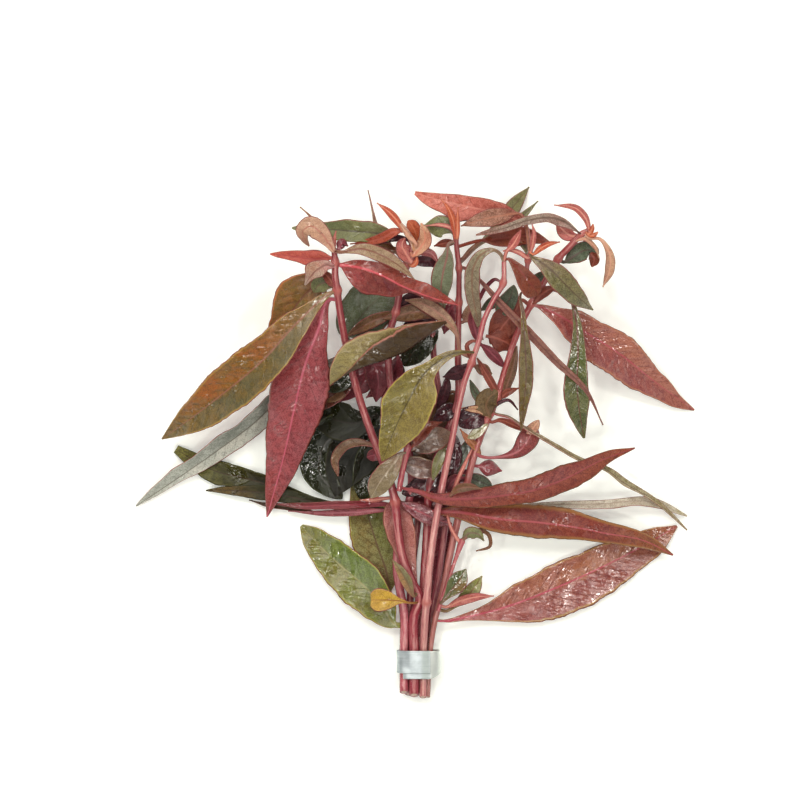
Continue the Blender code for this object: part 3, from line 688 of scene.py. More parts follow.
def half_width(v, width, peak, fullness):
    """Half of a leaf's width at v of its length: a thin stalk, then a blade that is widest at peak."""
    blade = max(0.0, (v - STALK_SHARE) / (1 - STALK_SHARE))
    bow = math.sin(math.pi * min(1.0, blade ** (math.log(0.5) / math.log(peak))))
    half = width / 2 * max(0.0, bow) ** fullness
    return max(math.hypot(half, STALK_HALF * (1 - v)), TIP_HALF)


def blade(name, seen, width, rib, fold=12, peak=0.42, fullness=1.0, curl=12, wave=0.5, wave_length=21,
          crumple=1.0, wet=0.25, reach=JOIN_REACH, outline=None, hidden=None, rim=0.1, drops=(), quilt=0.3):
    """A leaf on a midrib of points (across, down, height mm, roll), with width in mm and angles in degrees.

    An outline is the half widths of the seen left and right side, in mm, evenly spaced from stalk to tip.
    Drops are the places of standing water in the picture, as (across, down, reach). A stalk grows from the
    nearest stem that is within reach.
    """
    rows = [(*spot(*row[:3]), math.radians(row[3] if len(row) > 3 else 0)) for row in rib]
    start = Vector(rows[0][:3])
    stem_points = [Vector(p) for line in stem_lines.values() for p in line]
    nearest = min(stem_points, key=lambda p: (p - start).length)
    if 0.8 * MM < (nearest - start).length < reach:
        rows.insert(0, (*nearest, rows[0][3]))
    steps = np.linalg.norm(np.diff(np.array(rows)[:, :3], axis=0), axis=1)
    length, extra = steps.sum(), steps[0] if len(rows) > len(rib) else 0.0
    at = np.linspace(0, 1, max(12, round(length / LEAF_STEP)) + 1)
    path = smooth_path(rows, at)
    middle = path[len(path) // 2]
    share = np.clip((at * length - extra) / (length - extra), 0, 1)
    under_seen = abs(middle[3]) > math.pi / 2
    if outline:
        halves = [
            np.maximum(smooth_path([(i, 0, 0, w * MM) for i, w in enumerate(side)], share)[:, 3], TIP_HALF)
            for side in outline]
        if under_seen:
            halves.reverse()
    else:
        halves = [np.array([half_width(v, width * MM, peak, fullness) for v in share])] * 2
    body = (np.maximum(*halves) - STALK_HALF) / (width * MM / 2 - STALK_HALF + 0.01 * MM)
    mesh = spine(path[:, :3], way=heading(rows, at, 0.01), roll=path[:, 3], left=halves[0],
                 right=halves[1], body=np.clip(body, 0, 1) ** 0.7,
                 core=np.interp(share, CORE_SHARES, np.array(CORE_HALVES) * MM), mark=at * length,
                 share=share)
    level = middle[2] / MM
    drops = [(tuple(spot(across, down, level)), wide * PIXEL) for across, down, wide in drops]
    tones = SKINS.get(seen, seen).split()
    if under_seen:
        tones[:2] = tones[1], tones[0]
        sides = (hidden or HIDDEN_UPPER, " ".join(tones))
    else:
        sides = (" ".join(tones), hidden or (SKINS[seen] if seen in ("ivy", "plum") else HIDDEN_UNDER))
    liveliness = MM * min(1, width / FULL_WIDTH)
    return grow(name + "_blade", mesh, blade_tree, {
        "Around": 2 * min(MOST_ROUND, max(LEAST_ROUND, round(width / ROUND_STEP))),
        "Fold": math.radians(fold), "Curl": math.radians(curl), "Wave": wave * liveliness,
        "Wave length": wave_length * MM, "Vein depth": quilt * liveliness, "Crumple": crumple * liveliness,
        "Seed": float(len(name) * 3.1 + width),
        "Finish": blade_paint(name + "_skin", *sides, wet, rim, drops),
    })


def leaf(name, slot, *rest, **more):
    """A leaf that is a piece of its own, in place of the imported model's."""
    hang(blade(name, *rest, **more), "leaf_" + name)


def cluster(name, node, blades):
    """Small leaves of one shoot, joined into one piece."""
    with bpy.context.temp_override(active_object=blades[0], selected_editable_objects=blades):
        bpy.ops.object.join()
    blades[0].name = blades[0].data.name = name
    hang(blades[0], node)


leaf("bronze_long", "bronze", "585436 9a5117 8a7a5c 70603a 8a5a48 a88840 40361e 7c602f", 19, [
    (331, 293, 42), (300, 320, 42), (262, 361, 37), (225, 392, 29), (190, 419, 19), (162, 439, 9),
], fold=14, wet=0.5, quilt=0.18,
    drops=[(291, 318, 9), (279, 331, 8), (262, 350, 7), (234, 389, 5), (205, 403, 8), (191, 415, 9),
           (178, 428, 7)],
    outline=[[0.8, 3.1, 6.2, 8.2, 9.4, 9.8, 9.6, 8.7, 6.7, 3.6, 0.3],
             [0.8, 3.1, 6.2, 7.9, 9.4, 10, 9.7, 7.9, 6, 3.4, 0.3]])
leaf("crimson_long", "crimson", "903e42 94403f a85458 84362f bc586a 8a443c 541a20 a05458", 24, [
    (331, 299, 38, 180), (318, 330, 35, 180), (305, 365, 31, 180), (294, 410, 24, 180), (284, 455, 16, 180),
    (267, 517, 6, 180),
], fold=10, wet=0.7, quilt=0.2,
    drops=[(317, 376, 13), (298, 387, 8), (295, 407, 7), (281, 428, 10), (272, 458, 5)],
    outline=[[0.8, 3.1, 6, 10.1, 12.3, 11.9, 9.9, 8, 6, 3.3, 0.3],
             [0.8, 3.1, 7, 9.4, 11.7, 11.1, 9.9, 8.2, 6, 3.5, 0.3]])
leaf("grey_long", "grey", "c2beb1 7d8176 8f7a74 a4a699 686057 cfc9bb 707169 b1b3a8", 11, [
    (352, 352, 17, 30), (320, 368, 15, 30), (290, 388, 12, 30), (255, 422, 9, 35), (215, 452, 6, 30),
    (175, 480, 3.5, 20), (136, 506, 1.2, 10),
],
    outline=[[1, 2.5, 4, 5, 5, 5, 4.5, 3.9, 2, 1.4, 0.3],
             [1, 2.5, 4.5, 5.5, 6, 6.5, 6.5, 5.5, 5, 3.4, 0.3]])
leaf("brown_back", "brown", "9b622a 96602f 6f4f3b 8b5c2a 6f4433 b9713b 504026 71673b", 20, [
    (327, 276, 34), (312, 288, 33), (294, 308, 29), (282, 332, 24), (276, 360, 20),
], wet=0.4, reach=11 * MM,
    outline=[[0.8, 3, 6, 8, 8, 8, 8, 7, 5, 3, 0.5],
             [0.8, 5, 8.7, 10.5, 9.8, 8.2, 6.6, 6, 4.5, 3, 0.5]])
leaf("taupe_droop", "grey", "a0705c a87860 c47880 a89c90 7c5048 b08a78 7a5a50 b0a090", 7.5, [
    (333, 266, 45), (326, 265, 47), (318, 269, 47), (311, 276, 45), (305, 285, 41),
],
    outline=[[0.8, 1.5, 2.5, 3, 3.5, 3, 2, 1.5, 1, 0.8, 0.3],
             [0.8, 1.5, 2.2, 3, 4, 4.5, 3.5, 2.2, 1.4, 0.8, 0.3]])
leaf("red_left", "young_red", "a8483c a8483c b85c50 b85a4c 9a3c38 c07060 8a3430 b85c48", 7.5, [
    (330, 258, 44), (310, 259, 44), (290, 256, 43.5), (270, 254, 41),
],
    outline=[[0.8, 2.3, 3.1, 3.1, 2.8, 2.1, 1.8, 1.6, 1.4, 1, 0.3],
             [0.8, 2.5, 3.5, 3.6, 3.3, 3, 2.5, 2, 1.6, 1, 0.3]])
leaf("tan_top_left", "tan", "b88c70 b48870 a86458 6a2c24 a86c5c d0b4a4 98705c c4a088", 8, [
    (334, 251, 48), (328, 242, 50), (320, 232, 52), (311, 226, 53), (303, 231, 51), (304, 238, 48),
    (309, 246, 44),
],
    outline=[[0.8, 1.6, 2.5, 3.3, 4, 4.1, 3.4, 2.4, 1.6, 1, 0.3],
             [0.8, 1.6, 2.5, 3.3, 4, 4.1, 3.6, 2.6, 1.6, 1, 0.3]])
leaf("olive_back_left", "olive", "6e7248 5f6844 6a5a48 8a8a70 504838 8f8450 5a5c3c 7f7f55", 9, [
    (404, 240, 33), (375, 233, 35), (350, 231, 35), (325, 229, 33), (292, 228, 29),
],
    outline=[[0.5, 2, 3.3, 4, 4.4, 4.4, 4.2, 4, 3.4, 2, 0.4],
             [0.5, 2, 3.5, 4.3, 4.5, 4.6, 3.9, 2.8, 2.4, 1.7, 0.4]])
leaf("tan_arch", "tan", "8c7058 7c6048 8a6048 7a5040 7a4a40 8a5a48 6a5038 a48c70", 6, [
    (339, 252, 47), (362, 249, 50), (385, 257, 49), (402, 268, 46), (415, 280, 42.5),
])
# Its right half, the lower one, is painted darker: painted shade.
leaf("crimson_top", "crimson", "974136 612025 a64646 9c352b c75059 a0443c 52191b 86463a", 15, [
    (341, 265, 43, -10), (365, 269, 45, -10), (385, 277, 44, -10), (402, 286, 41, -10), (430, 297, 37, -10),
    (458, 305, 33, -10),
], fold=-20, wet=0.6,
    outline=[[0.8, 2.7, 3.5, 4.5, 5, 4.2, 4.4, 4.7, 3.9, 2.2, 0.4],
             [0.8, 8, 10, 10, 8.2, 5.8, 1.5, 1.3, 1.2, 0.8, 0.3]])
leaf("green_back", "green", "46503a 3f4838 4a4a38 5a5a40 5a5a48 5a5a40 7a8070 5a6448", 17, [
    (347, 338, 15), (357, 322, 17), (372, 304, 18), (400, 284, 17.5),
], reach=8 * MM,
    outline=[[0.8, 6, 9, 10, 10.5, 10.5, 10, 8.5, 6, 3, 0.5]] * 2)
leaf("rolled_olive", "olive", "84744a 84744a 7a6848 8c804c a87448 a08c5c 5c4c30 948858", 18, [
    (446, 322, 31, -70), (425, 337, 33, -70), (402, 353, 35.5, -70), (380, 361, 37, -70),
    (362, 367, 36.5, -70), (345, 375, 34, -50), (330, 385, 31, -20),
], fold=78, wet=0.5, quilt=0.2,
    hidden="3e2e1e 3e2e1e 4a3024 44331f 4a3024 b07060 2e2014 4a3a22",
    drops=[(352, 352, 9), (368, 345, 7)],
    outline=[[0.8, 4, 7, 9, 9.5, 9, 7, 4, 1.5, 0.8, 0.3],
             [0.8, 4, 7, 9.5, 11, 12, 12.5, 12, 10, 6.5, 0.3]])
leaf("yellow_green", "olive", "726230 6b6334 624d34 706334 3f341d a99b42 938442 534223", 18, [
    (466, 352, 35), (452, 354, 37), (438, 362, 38), (424, 374, 38), (411, 396, 36), (398, 422, 32),
    (382, 461, 26),
], wet=0.6, quilt=0.14,
    drops=[(387, 427, 9), (402, 400, 6)],
    outline=[[0.6, 1.5, 2.4, 4.5, 9.6, 11, 11.3, 10, 7.6, 4.5, 0.3],
             [0.6, 1.5, 2.4, 3.5, 7.8, 9.6, 9.9, 7.5, 5.6, 3.6, 0.3]])
leaf("wet_upper", "green", "191a07 1a1b08 1d140a 1f1f0b 1d160d 24200d 0b0b06 1e200d", 16, [
    (378, 414, 11.5), (355, 423, 9.5), (330, 418, 6), (306, 404, 1),
], wet=0.3, quilt=0.05, crumple=0.3, wave=0.2,
    hidden=SKINS["ivy"],
    drops=[(357, 413, 10), (373, 412, 7)])
leaf("wet_lower", "green", "141405 101205 181006 1c1606 161008 201a09 090804 181809", 22, [
    (388, 424, 7.5), (365, 440, 5.4), (347, 464, 3.6), (335, 496, 2.2),
], fullness=0.8, wet=0.3, quilt=0.05, crumple=0.3, wave=0.2,
    hidden=SKINS["ivy"],
    drops=[(322, 440, 9), (334, 447, 7), (341, 470, 8)])
leaf("taupe_centre", "tan", "7a6a4c 7e6a50 8a5a50 7a6c4c 9a8a74 8f7a50 5a4c38 8c7c64", 9, [
    (403, 453, 25), (392, 466, 25.5), (380, 482, 23.5), (371, 498, 20),
], wet=0.7, quilt=0.15,
    drops=[(390, 466, 7), (382, 477, 7)],
    outline=[[0.6, 1.6, 2.8, 3.8, 4.6, 4.8, 4.8, 4.4, 3.6, 2.2, 0.3]] * 2)
leaf("dark_far_left", "olive", "2e2c12 201a0a 2e2416 8c8840 3a2a18 70682a 141006 3a3818", 9.5, [
    (398, 506, 8.6), (345, 505, 6), (320, 502, 5), (286, 492, 4), (262, 483, 3.2), (240, 477, 2.6),
    (215, 471, 2), (195, 461, 1.6), (176, 449, 1.4),
], wet=0.2, quilt=0.12,
    hidden=SKINS["ivy"],
    outline=[[0.6, 0.8, 0.9, 1.1, 2, 3, 3.8, 4.6, 5.3, 3.6, 1.8],
             [0.6, 0.8, 0.9, 1.1, 2, 3, 3.8, 4.4, 5, 3.6, 1.8]])
leaf("orange_rim_left", "olive", "343014 2a2a14 38281a 80602c 382a1e a88040 1c1a12 34341e", 5, [
    (396, 512, 6.2), (330, 505, 5), (286, 496, 5.2), (262, 492.5, 4.6), (240, 491, 4), (222, 490, 3),
    (206, 490.5, 1.8),
], wet=0.15, quilt=0.12,
    hidden=SKINS["ivy"],
    outline=[[0.6, 0.8, 1, 1.5, 2, 2.6, 3, 3.1, 2.5, 1.6, 0.3]] * 2)
leaf("folded_left_upper", "crimson", "7c2c36 6a2428 963c48 3e2a1c 8c3c44 a08068 5a1c24 6a2c2c", 4.5, [
    (392, 505, 11.4), (340, 505, 10), (305, 506, 8), (276, 504, 6.4),
],
    outline=[[0.6, 1, 1.4, 1.6, 1.7, 1.7, 1.6, 1.5, 1.3, 0.8, 0.3]] * 2)
leaf("tan_behind_stem", "tan", "9c5a50 94544c 8c4040 84484c a8605c c08c70 743c3c b07c74", 12, [
    (396, 498, 12.3), (399, 520, 12), (403, 540, 11.5), (409, 562, 10.3), (417, 590, 8.6),
], fold=4, fullness=0.8,
    outline=[[0.8, 3, 5, 5.5, 5.6, 5, 4, 3, 2, 1.2, 0.3],
             [0.8, 5, 6.4, 6.4, 6, 5, 4, 3, 2, 1, 0.3]])
leaf("olive_low", "olive", "76622d 6b6b2d 5e4524 65602f 583e28 92863a 3b2f11 868651", 19, [
    (393, 598, 3), (386, 570, 2.2), (377, 545, 1.4), (370, 522, 0.8), (362, 495, 0.4), (352, 468, 0.3),
], fold=4, wet=0.2)
leaf("green_broad", "green", "7a7038 58682e 6c6636 7a6a2c 8a8450 a49c3c 3c4418 7c8840", 18.5, [
    (396, 624, 6), (383, 607, 6.5), (363, 585, 5.5), (341, 566, 3.5), (321, 547, 1.6), (301, 526, 0.4),
], fold=6, peak=0.48, fullness=0.75, wet=0.6, quilt=0.16,
    drops=[(330, 568, 10), (346, 590, 11), (361, 606, 7), (314, 545, 7)],
    outline=[[1.6, 6.5, 8.4, 9.6, 10.4, 9.3, 8.5, 7.6, 5.9, 4.1, 0.6],
             [0.8, 4, 6.6, 8.2, 9, 9, 8.6, 7.8, 6.3, 4.7, 1]])
leaf("golden", "golden", "a8802c a07828 9a6030 b08834 8a5a2c dcb478 7c5c1c c8a448", 10, [
    (411, 603, 14), (400, 601, 14.5), (386, 600, 14.5), (371, 600, 13),
],
    outline=[[0.5, 0.5, 0.8, 1.4, 2.4, 3.6, 4.3, 4.8, 4.9, 4.4, 2.6]] * 2)
leaf("olive_folded", "olive", "a07448 6a6848 8a5a44 7a6040 6a5038 b08a58 5a5038 8a7a54", 5, [
    (414, 596, 14.5), (407, 582, 16.5), (400, 570, 17.5), (392, 559, 17),
])
leaf("glossy_right", "crimson", "a0603a 84403c a04448 9c6440 b4485a a8884c 5c2424 a46c60", 22, [
    (444, 621, 7), (466, 617, 6), (492, 611, 4), (523, 601, 2), (553, 589, 0.8), (600, 568, 0.4),
    (643, 546, 0.6), (677, 526, 1.4),
], fold=8, peak=0.45, wet=0.7, quilt=0.12,
    drops=[(511, 598, 9), (530, 597, 8), (553, 602, 13), (580, 592, 13), (602, 576, 10), (621, 578, 8),
           (557, 573, 7), (675, 531, 8)],
    outline=[[0.6, 1.8, 4.3, 7.5, 8.8, 9.8, 9.3, 8.6, 7, 5, 0.5],
             [0.6, 1.8, 4.4, 8.6, 11.3, 12.3, 11.9, 10.2, 7.8, 6, 0.5]])
leaf("crimson_right_lower", "crimson", "762e2c 7c342c 883c3c 8c6438 a44a50 94683c 501c1e 8c4c3c", 15, [
    (434, 511, 14, 180), (457, 512, 16.5, 180), (500, 519, 18, 180), (535, 522, 17.5, 180),
    (574, 527, 16, 180), (604, 533, 14, 180), (645, 541, 11, 180), (673, 555, 7, 180),
], fold=12, peak=0.4, wet=0.3, quilt=0.2, rim=0.3,
    outline=[[0.7, 2.7, 5, 6.4, 7.2, 7.4, 6.3, 5, 3.9, 2.6, 0.4],
             [0.7, 3, 5, 6.3, 6.6, 6.3, 5, 4.2, 3.9, 2.6, 0.4]])
leaf("crimson_right_upper", "crimson", "742e2c 7a3a2c 8a4448 84482c 8a3c40 7a4c30 4c1c20 904c3c", 12, [
    (406, 489, 23.5, 180), (416, 491, 24, 180), (437, 498, 24.5, 180), (465, 499, 25, 180),
    (500, 496, 26, 180), (535, 490, 26, 180), (565, 479, 26, 180), (600, 461, 24, 180), (635, 448, 20, 180),
], fold=12, peak=0.5, wet=0.2, quilt=0.2, rim=0.12,
    outline=[[0.6, 1.5, 3, 4.3, 5.1, 5.3, 5.9, 5.5, 3.4, 2.6, 0.3],
             [0.6, 1.5, 3, 4, 4.4, 4.8, 5, 5.2, 4.5, 1.8, 0.3]])
leaf("thin_right_upper", "grey", "7c7444 a09468 84464a 8c744c 6c5040 8c7040 5c4a30 b0a488", 5, [
    (494, 413, 24, 45), (508, 417, 24.6, 45), (523, 427, 24.4, 45), (543, 439, 23.5, 45),
    (582, 461, 20, 45), (604, 469, 18, 45), (625, 484, 14, 45), (653, 500, 9, 45), (687, 530, 3, 30),
], wet=0.3,
    outline=[[0.5, 0.8, 1.2, 1.4, 1.4, 1.6, 2.2, 2.1, 1.4, 1.2, 0.3],
             [0.5, 0.8, 1, 1.1, 1, 1.2, 1.6, 1.6, 1.2, 0.8, 0.3]])
leaf("thin_right_lower", "grey", "c4b8a6 b4a492 76744a 8e864c a09080 8a7a48 8c7c6c ccc4b4", 5, [
    (466, 510, 10.5, 30), (510, 508, 10.5, 30), (553, 505, 10, 30), (600, 504, 8.5, 30), (650, 502, 6, 30),
    (687, 516, 2.5, 20),
],
    outline=[[0.5, 0.8, 1.1, 1.3, 1.4, 1.6, 1.6, 1.6, 2, 1.6, 0.4],
             [0.5, 0.8, 1.4, 2, 2.4, 2.8, 2.9, 3, 3, 1.7, 0.4]])
leaf("hooked", "crimson", "7c2e34 702a2c 8a3c40 8f5040 a0585c 6a3430 4c1c20 94504c", 9, [
    (480, 456, 20, 180), (500, 457, 22, 180), (517, 452, 23, 180), (529, 438, 23, 180), (534, 423, 21, 180),
], peak=0.75, fullness=0.8, wet=0.3)
leaf("short_crimson", "crimson", "7a2c34 7a2c34 8a3840 7a3030 8a3840 6a2428 5a1c24 8a3c40", 7, [
    (477, 466, 16, 180), (489, 468, 16, 180), (502, 471, 14, 180),
], wet=1.0,
    drops=[(490, 468, 9)])
leaf("pair_green", "green", "4a5038 8a5a34 6a4a38 5a5a38 6a4a3c 6a6440 3c4030 5f643c", 8, [
    (441, 603, 14), (450, 592, 16), (459, 580, 17), (466, 569, 16),
], peak=0.6, wet=0.8)
leaf("pair_olive", "olive", "7a7a48 7a7a48 8a5a50 80803c 7a5a44 8a7050 5f5a38 8c8a54", 6.5, [
    (445, 611, 8.5), (458, 603, 10), (471, 592, 11), (482, 576, 10),
], peak=0.6)
leaf("olive_tip", "olive", "6a6a48 74704a 7a4a44 7a7448 6a5444 8a8258 5a5a3c 85805a", 7, [
    (464, 259, 28), (474, 249, 23), (488, 237, 16), (502, 223, 9), (514, 206, 4), (529, 187, 0.4),
], peak=0.66)
leaf("red_top", "crimson", "ba6356 b65f52 9b5449 c36c56 cc7f70 b2634e 8e3d32 cc7f70", 11, [
    (523, 223, 31), (500, 214, 33), (470, 207, 34), (440, 200, 33), (415, 193, 30),
], reach=18 * MM,
    outline=[[0.8, 3, 4.5, 5, 5.2, 6, 7.2, 5.5, 4.4, 3, 0.8],
             [0.8, 2.8, 4.3, 4.6, 4.8, 4.3, 4.1, 3.2, 2.4, 1.6, 0.8]])
leaf("tan_top", "tan", "8e5d49 8e5d4a 7f3f36 774e3c a16852 845445 583425 b18673", 7.5, [
    (519, 214, 36.5), (500, 216, 39), (480, 220, 39), (461, 226, 37),
], reach=18 * MM)
leaf("grey_top", "grey", "82685a 94806e 946058 945048 5c4438 a08878 54443a a89488", 4, [
    (577, 231, 42.5), (565, 222, 43), (552, 218, 43), (530, 220, 42), (505, 228, 41), (476, 235, 37),
],
    outline=[[0.4, 2, 2.8, 2, 2, 1.8, 1.8, 1.6, 1.4, 1, 0.3],
             [0.4, 0.9, 1.5, 1.8, 1.8, 1.8, 1.8, 1.6, 1.4, 1, 0.3]])
leaf("rust_top", "brown", "743020 7c3720 4c1c20 813a30 813a2d 8d4630 59211a 81462d", 8, [
    (478, 241, 31), (500, 239, 32), (525, 236, 32), (553, 244, 30),
], reach=14 * MM)
leaf("green_hanging", "grey", "656c54 6f735b 746654 655644 83514c 836654 565844 7e8368", 9, [
    (450, 243, 36), (447, 257, 35), (443, 273, 33), (441, 290, 30), (444, 312, 26),
])
leaf("olive_arch", "olive", "7a6a58 7a6a58 9a9478 6a4a34 7a5a48 6a5040 5f5040 948a6e", 6.5, [
    (501, 255, 42.5), (493, 250, 45), (482, 254, 45), (474, 266, 42), (472, 286, 37), (476, 312, 31),
    (483, 340, 25),
])
leaf("rust_right", "brown", "743120 7b3826 6b3026 7f422a 79342d 795733 4a1e16 744230", 8, [
    (507, 259, 42), (517, 267, 43), (528, 281, 42), (539, 294, 38),
],
    outline=[[0.5, 1, 1.6, 2.2, 2.8, 3.3, 3.6, 3.8, 3.6, 2.6, 0.6],
             [0.5, 1, 1.8, 2.6, 3.4, 4.2, 4.8, 5.2, 5, 3.8, 0.8]])
leaf("olive_right", "olive", "6c603c 5c5836 8a6a58 8a8474 54402f 7a5a4a 382e1c 8c8458", 10, [
    (532, 257, 42.5), (548, 267, 44), (562, 281, 42), (577, 296, 37), (593, 310, 31),
], wet=0.5,
    outline=[[0.6, 1.8, 3.1, 4.3, 4.7, 4.5, 3.9, 3.4, 2.5, 1.2, 0.3],
             [0.6, 2, 3.5, 4.4, 5, 5, 4.7, 4.2, 3, 1.6, 0.3]])
leaf("narrow_hanging", "olive", "564926 61532a 603b28 55431f 533022 854628 3a2915 776637", 7, [
    (522, 292, 34), (523, 315, 36), (525, 345, 36), (526, 380, 34), (523, 410, 30.5), (521, 431, 28),
], wet=0.5,
    outline=[[0.4, 0.8, 1.2, 1.7, 2.4, 3, 3, 2.7, 2, 1.2, 0.3]] * 2)
leaf("wet_hanging", "olive", "566034 4c5028 6a4040 40442a 6a3c38 8a4a44 2c3418 78784c", 9, [
    (571, 300, 30), (576, 320, 30.5), (578, 350, 29), (577, 385, 26), (580, 415, 21), (584, 438, 16),
], wet=1.0, reach=20 * MM,
    drops=[(578, 392, 7), (581, 409, 7)],
    outline=[[0.6, 1.5, 2.3, 3, 3.6, 4.2, 4.6, 4.8, 3.4, 2, 0.5],
             [0.6, 1.2, 2, 3, 3.9, 5, 6, 5.7, 4.5, 2.7, 0.5]])
leaf("red_far_right", "crimson", "ad7159 8b4743 8c3a34 a06450 a84c54 b07854 642428 a4685c", 16.5, [
    (538, 306, 26), (556, 314, 24), (590, 335, 19.5), (620, 354, 14.5), (650, 378, 8), (694, 410, 0.4),
], wet=0.8,
    drops=[(615, 366, 8), (640, 378, 9), (656, 391, 7)],
    outline=[[0.8, 3.1, 6.2, 7, 7.8, 7.9, 6.8, 4.8, 3.8, 1.5, 0.4],
             [0.8, 3.5, 7, 9, 9.8, 9.8, 9.1, 7.5, 5.6, 4, 0.4]])
leaf("thin_across", "grey", "7e5145 6e413a 8b4f45 7c4645 5f3530 906a59 5f3830 8b6353", 3.6, [
    (464, 268, 31.5), (475, 276, 32.5), (500, 303, 33.5), (530, 334, 33), (557, 362, 33), (585, 389, 33),
    (603, 425, 27),
])

# The shoot tips. The youngest leaves stand folded at the ends of the shoots, orange red and only a few
# millimetres wide.
cluster("left_shoot_leaves", "left_shoot_tip", [
    blade("left_tip_spike", "ember", 3.2,
          [(403, 232, 42), (397, 221, 44), (390, 213, 44.5), (377, 203, 43)], wave=0.2),
    blade("left_tip_pale", "c49a84 c49a84 b88858 c8a898 b88058 d8b8a0 a87860 d0b0a0", 2.4,
          [(414, 250, 41), (412, 241, 43), (407, 232, 44), (401, 223, 44)], wave=0.2, fullness=0.5),
    blade("left_tip_round", "a84c2c a84c2c 6c241c a85030 b86848 b87048 8a3820 b45c38", 5.6,
          [(417, 243, 38), (416, 235, 39), (413, 227, 40), (408, 220.5, 40)], peak=0.62, fullness=0.6),
    blade("left_tip_stalk", "blush", 2.2, [(416, 244, 44), (408, 235, 46), (400, 224, 46.5)], fold=-10),
    blade("left_tip_tan", "b88468 b07058 b86858 b89878 c07860 d0b490 985c48 c09878", 5.6,
          [(413, 256, 41), (420, 248, 42), (425, 240, 43.5), (424, 231, 45),
           (421, 223, 45)], fold=-10, fullness=0.7),
    blade("left_tip_brick", "a04834 a04834 b05434 742c24 a85848 b0603c 74281c ac5840", 4.2,
          [(405, 230, 41), (394, 232, 41), (382, 238, 39), (366, 242, 36), (350, 244, 34)], peak=0.3),
    # Painted shade: a dark blade under the brick leaf, for the shadow beneath it.
    blade("left_tip_shade", "plum", 3,
          [(408, 240, 35), (396, 238, 35), (384, 240, 34), (372, 244, 33)], fullness=0.6),
    blade("left_tip_under", "umber", 4, [(404, 252, 32), (392, 250, 32), (380, 247, 32), (362, 245, 31)]),
    blade("left_tip_rose", "rose", 6.5,
          [(412, 263, 38), (406, 254, 39), (402, 244, 39), (405, 238, 38)], fold=-15, fullness=0.7),
    blade("left_tip_umber", "94504c 8c4844 a85a54 6a2c2c b8807c a06058 5c2424 a06060", 3.4,
          [(411, 258, 38), (420, 252, 39), (430, 253, 38), (439, 264, 34)]),
    # Painted shade: a dark blade under the umber leaf, for the shadow beneath it.
    blade("left_tip_cave", "plum", 4.6,
          [(411, 262, 33), (421, 261, 33), (431, 262, 32.5), (440, 267, 31)], fullness=0.6),
    blade("left_tip_bud", "ember", 2.2, [(412, 266, 38), (416, 262, 39.5), (417, 257, 40)], fullness=0.5),
])
cluster("back_shoot_leaves", "back_shoot_tip", [
    blade("back_tip_spike", "ember", 3.2,
          [(456, 238, 38), (453, 220, 42), (448, 208, 44), (441, 199, 44)], fold=20),
    blade("back_tip_thin", "ember", 2, [(457, 238, 39), (457.5, 222, 43), (458, 207, 45)], fold=10),
    blade("back_tip_left", "rose", 1.6,
          [(456, 236, 39), (451, 228, 40), (441, 225, 40), (425, 226, 38)], fold=0),
    blade("back_tip_moss", "moss", 9,
          [(454, 234, 37.5), (446, 227, 38), (436, 226, 37.5), (423, 226, 35)], fold=-18),
    blade("back_tip_brick", "brick", 3.4, [(456, 243, 33), (446, 243, 33), (434, 246, 31)]),
])
cluster("right_shoot_leaves", "right_shoot_tip", [
    blade("right_tip_spike", "rose", 3.2,
          [(589, 232, 42), (586, 219, 44.5), (577, 209, 45), (554, 205, 43.5)], fold=20),
    blade("right_tip_hook", "blush", 4,
          [(588, 237, 41.5), (600, 239, 43), (609, 252, 42), (610, 268, 38),
           (603, 287, 32)], fold=-20, peak=0.6),
    blade("right_tip_green", "fern", 7.5,
          [(563, 262, 34), (574, 256, 35), (586, 250, 34), (593, 252, 31),
           (592, 262, 28)], fold=-15, fullness=0.7),
    blade("right_tip_red", "brick", 4.5,
          [(590, 252, 31), (594, 258, 31.5), (592, 267, 29)], fold=-20, fullness=0.6),
    blade("right_tip_rim", "blush", 1.8,
          [(574, 241, 39), (585, 239, 40.5), (594, 246, 39), (599, 258, 34)]),
    blade("right_tip_mauve", "rose", 6,
          [(579, 236, 38.5), (572, 236, 38.5), (564, 231, 37.5), (556, 221, 35)], fold=-10),
    blade("right_tip_bud", "ember", 2.2, [(588, 234, 42), (592, 229, 44), (593, 224, 45)], fullness=0.6),
    blade("right_tip_side", "ember", 2, [(588, 234, 42), (594, 235, 43.5), (598, 232, 44)], fullness=0.6),
])
cluster("top_side_shoot_leaves", None, [
    blade("top_bud_left", "rose", 4,
          [(507, 251, 43.5), (512, 246, 44.5), (517, 238, 45.5), (521, 230, 46)], fold=25, fullness=0.8),
    blade("top_bud_up", "rose", 2.6,
          [(531, 252, 41), (533, 241, 43), (534, 233, 43), (532, 224, 42)], fold=25),
    blade("top_bud_right", "ember", 2.8,
          [(532, 254, 41.5), (541, 248, 43), (549, 244, 43.5), (560, 242, 42.5)], fold=25),
    blade("top_stalk", "rose", 1.8,
          [(528, 258, 40.5), (520, 253, 42.5), (511, 250, 43), (503, 251, 42)], fullness=0.5, fold=0),
    blade("top_node_leaf", "brick", 4,
          [(534, 303, 31), (542, 294, 33), (551, 289, 34), (560, 288, 33)], fold=-20),
    blade("middle_tip_spike", "rose", 2, [(334, 250, 46.3), (334, 241, 48.2), (336, 231, 49.5)], fold=25),
    blade("middle_tip_dark", "maroon", 4, [(337, 250, 46.2), (342, 243, 46.5), (348, 246, 44)], fold=-20),
])
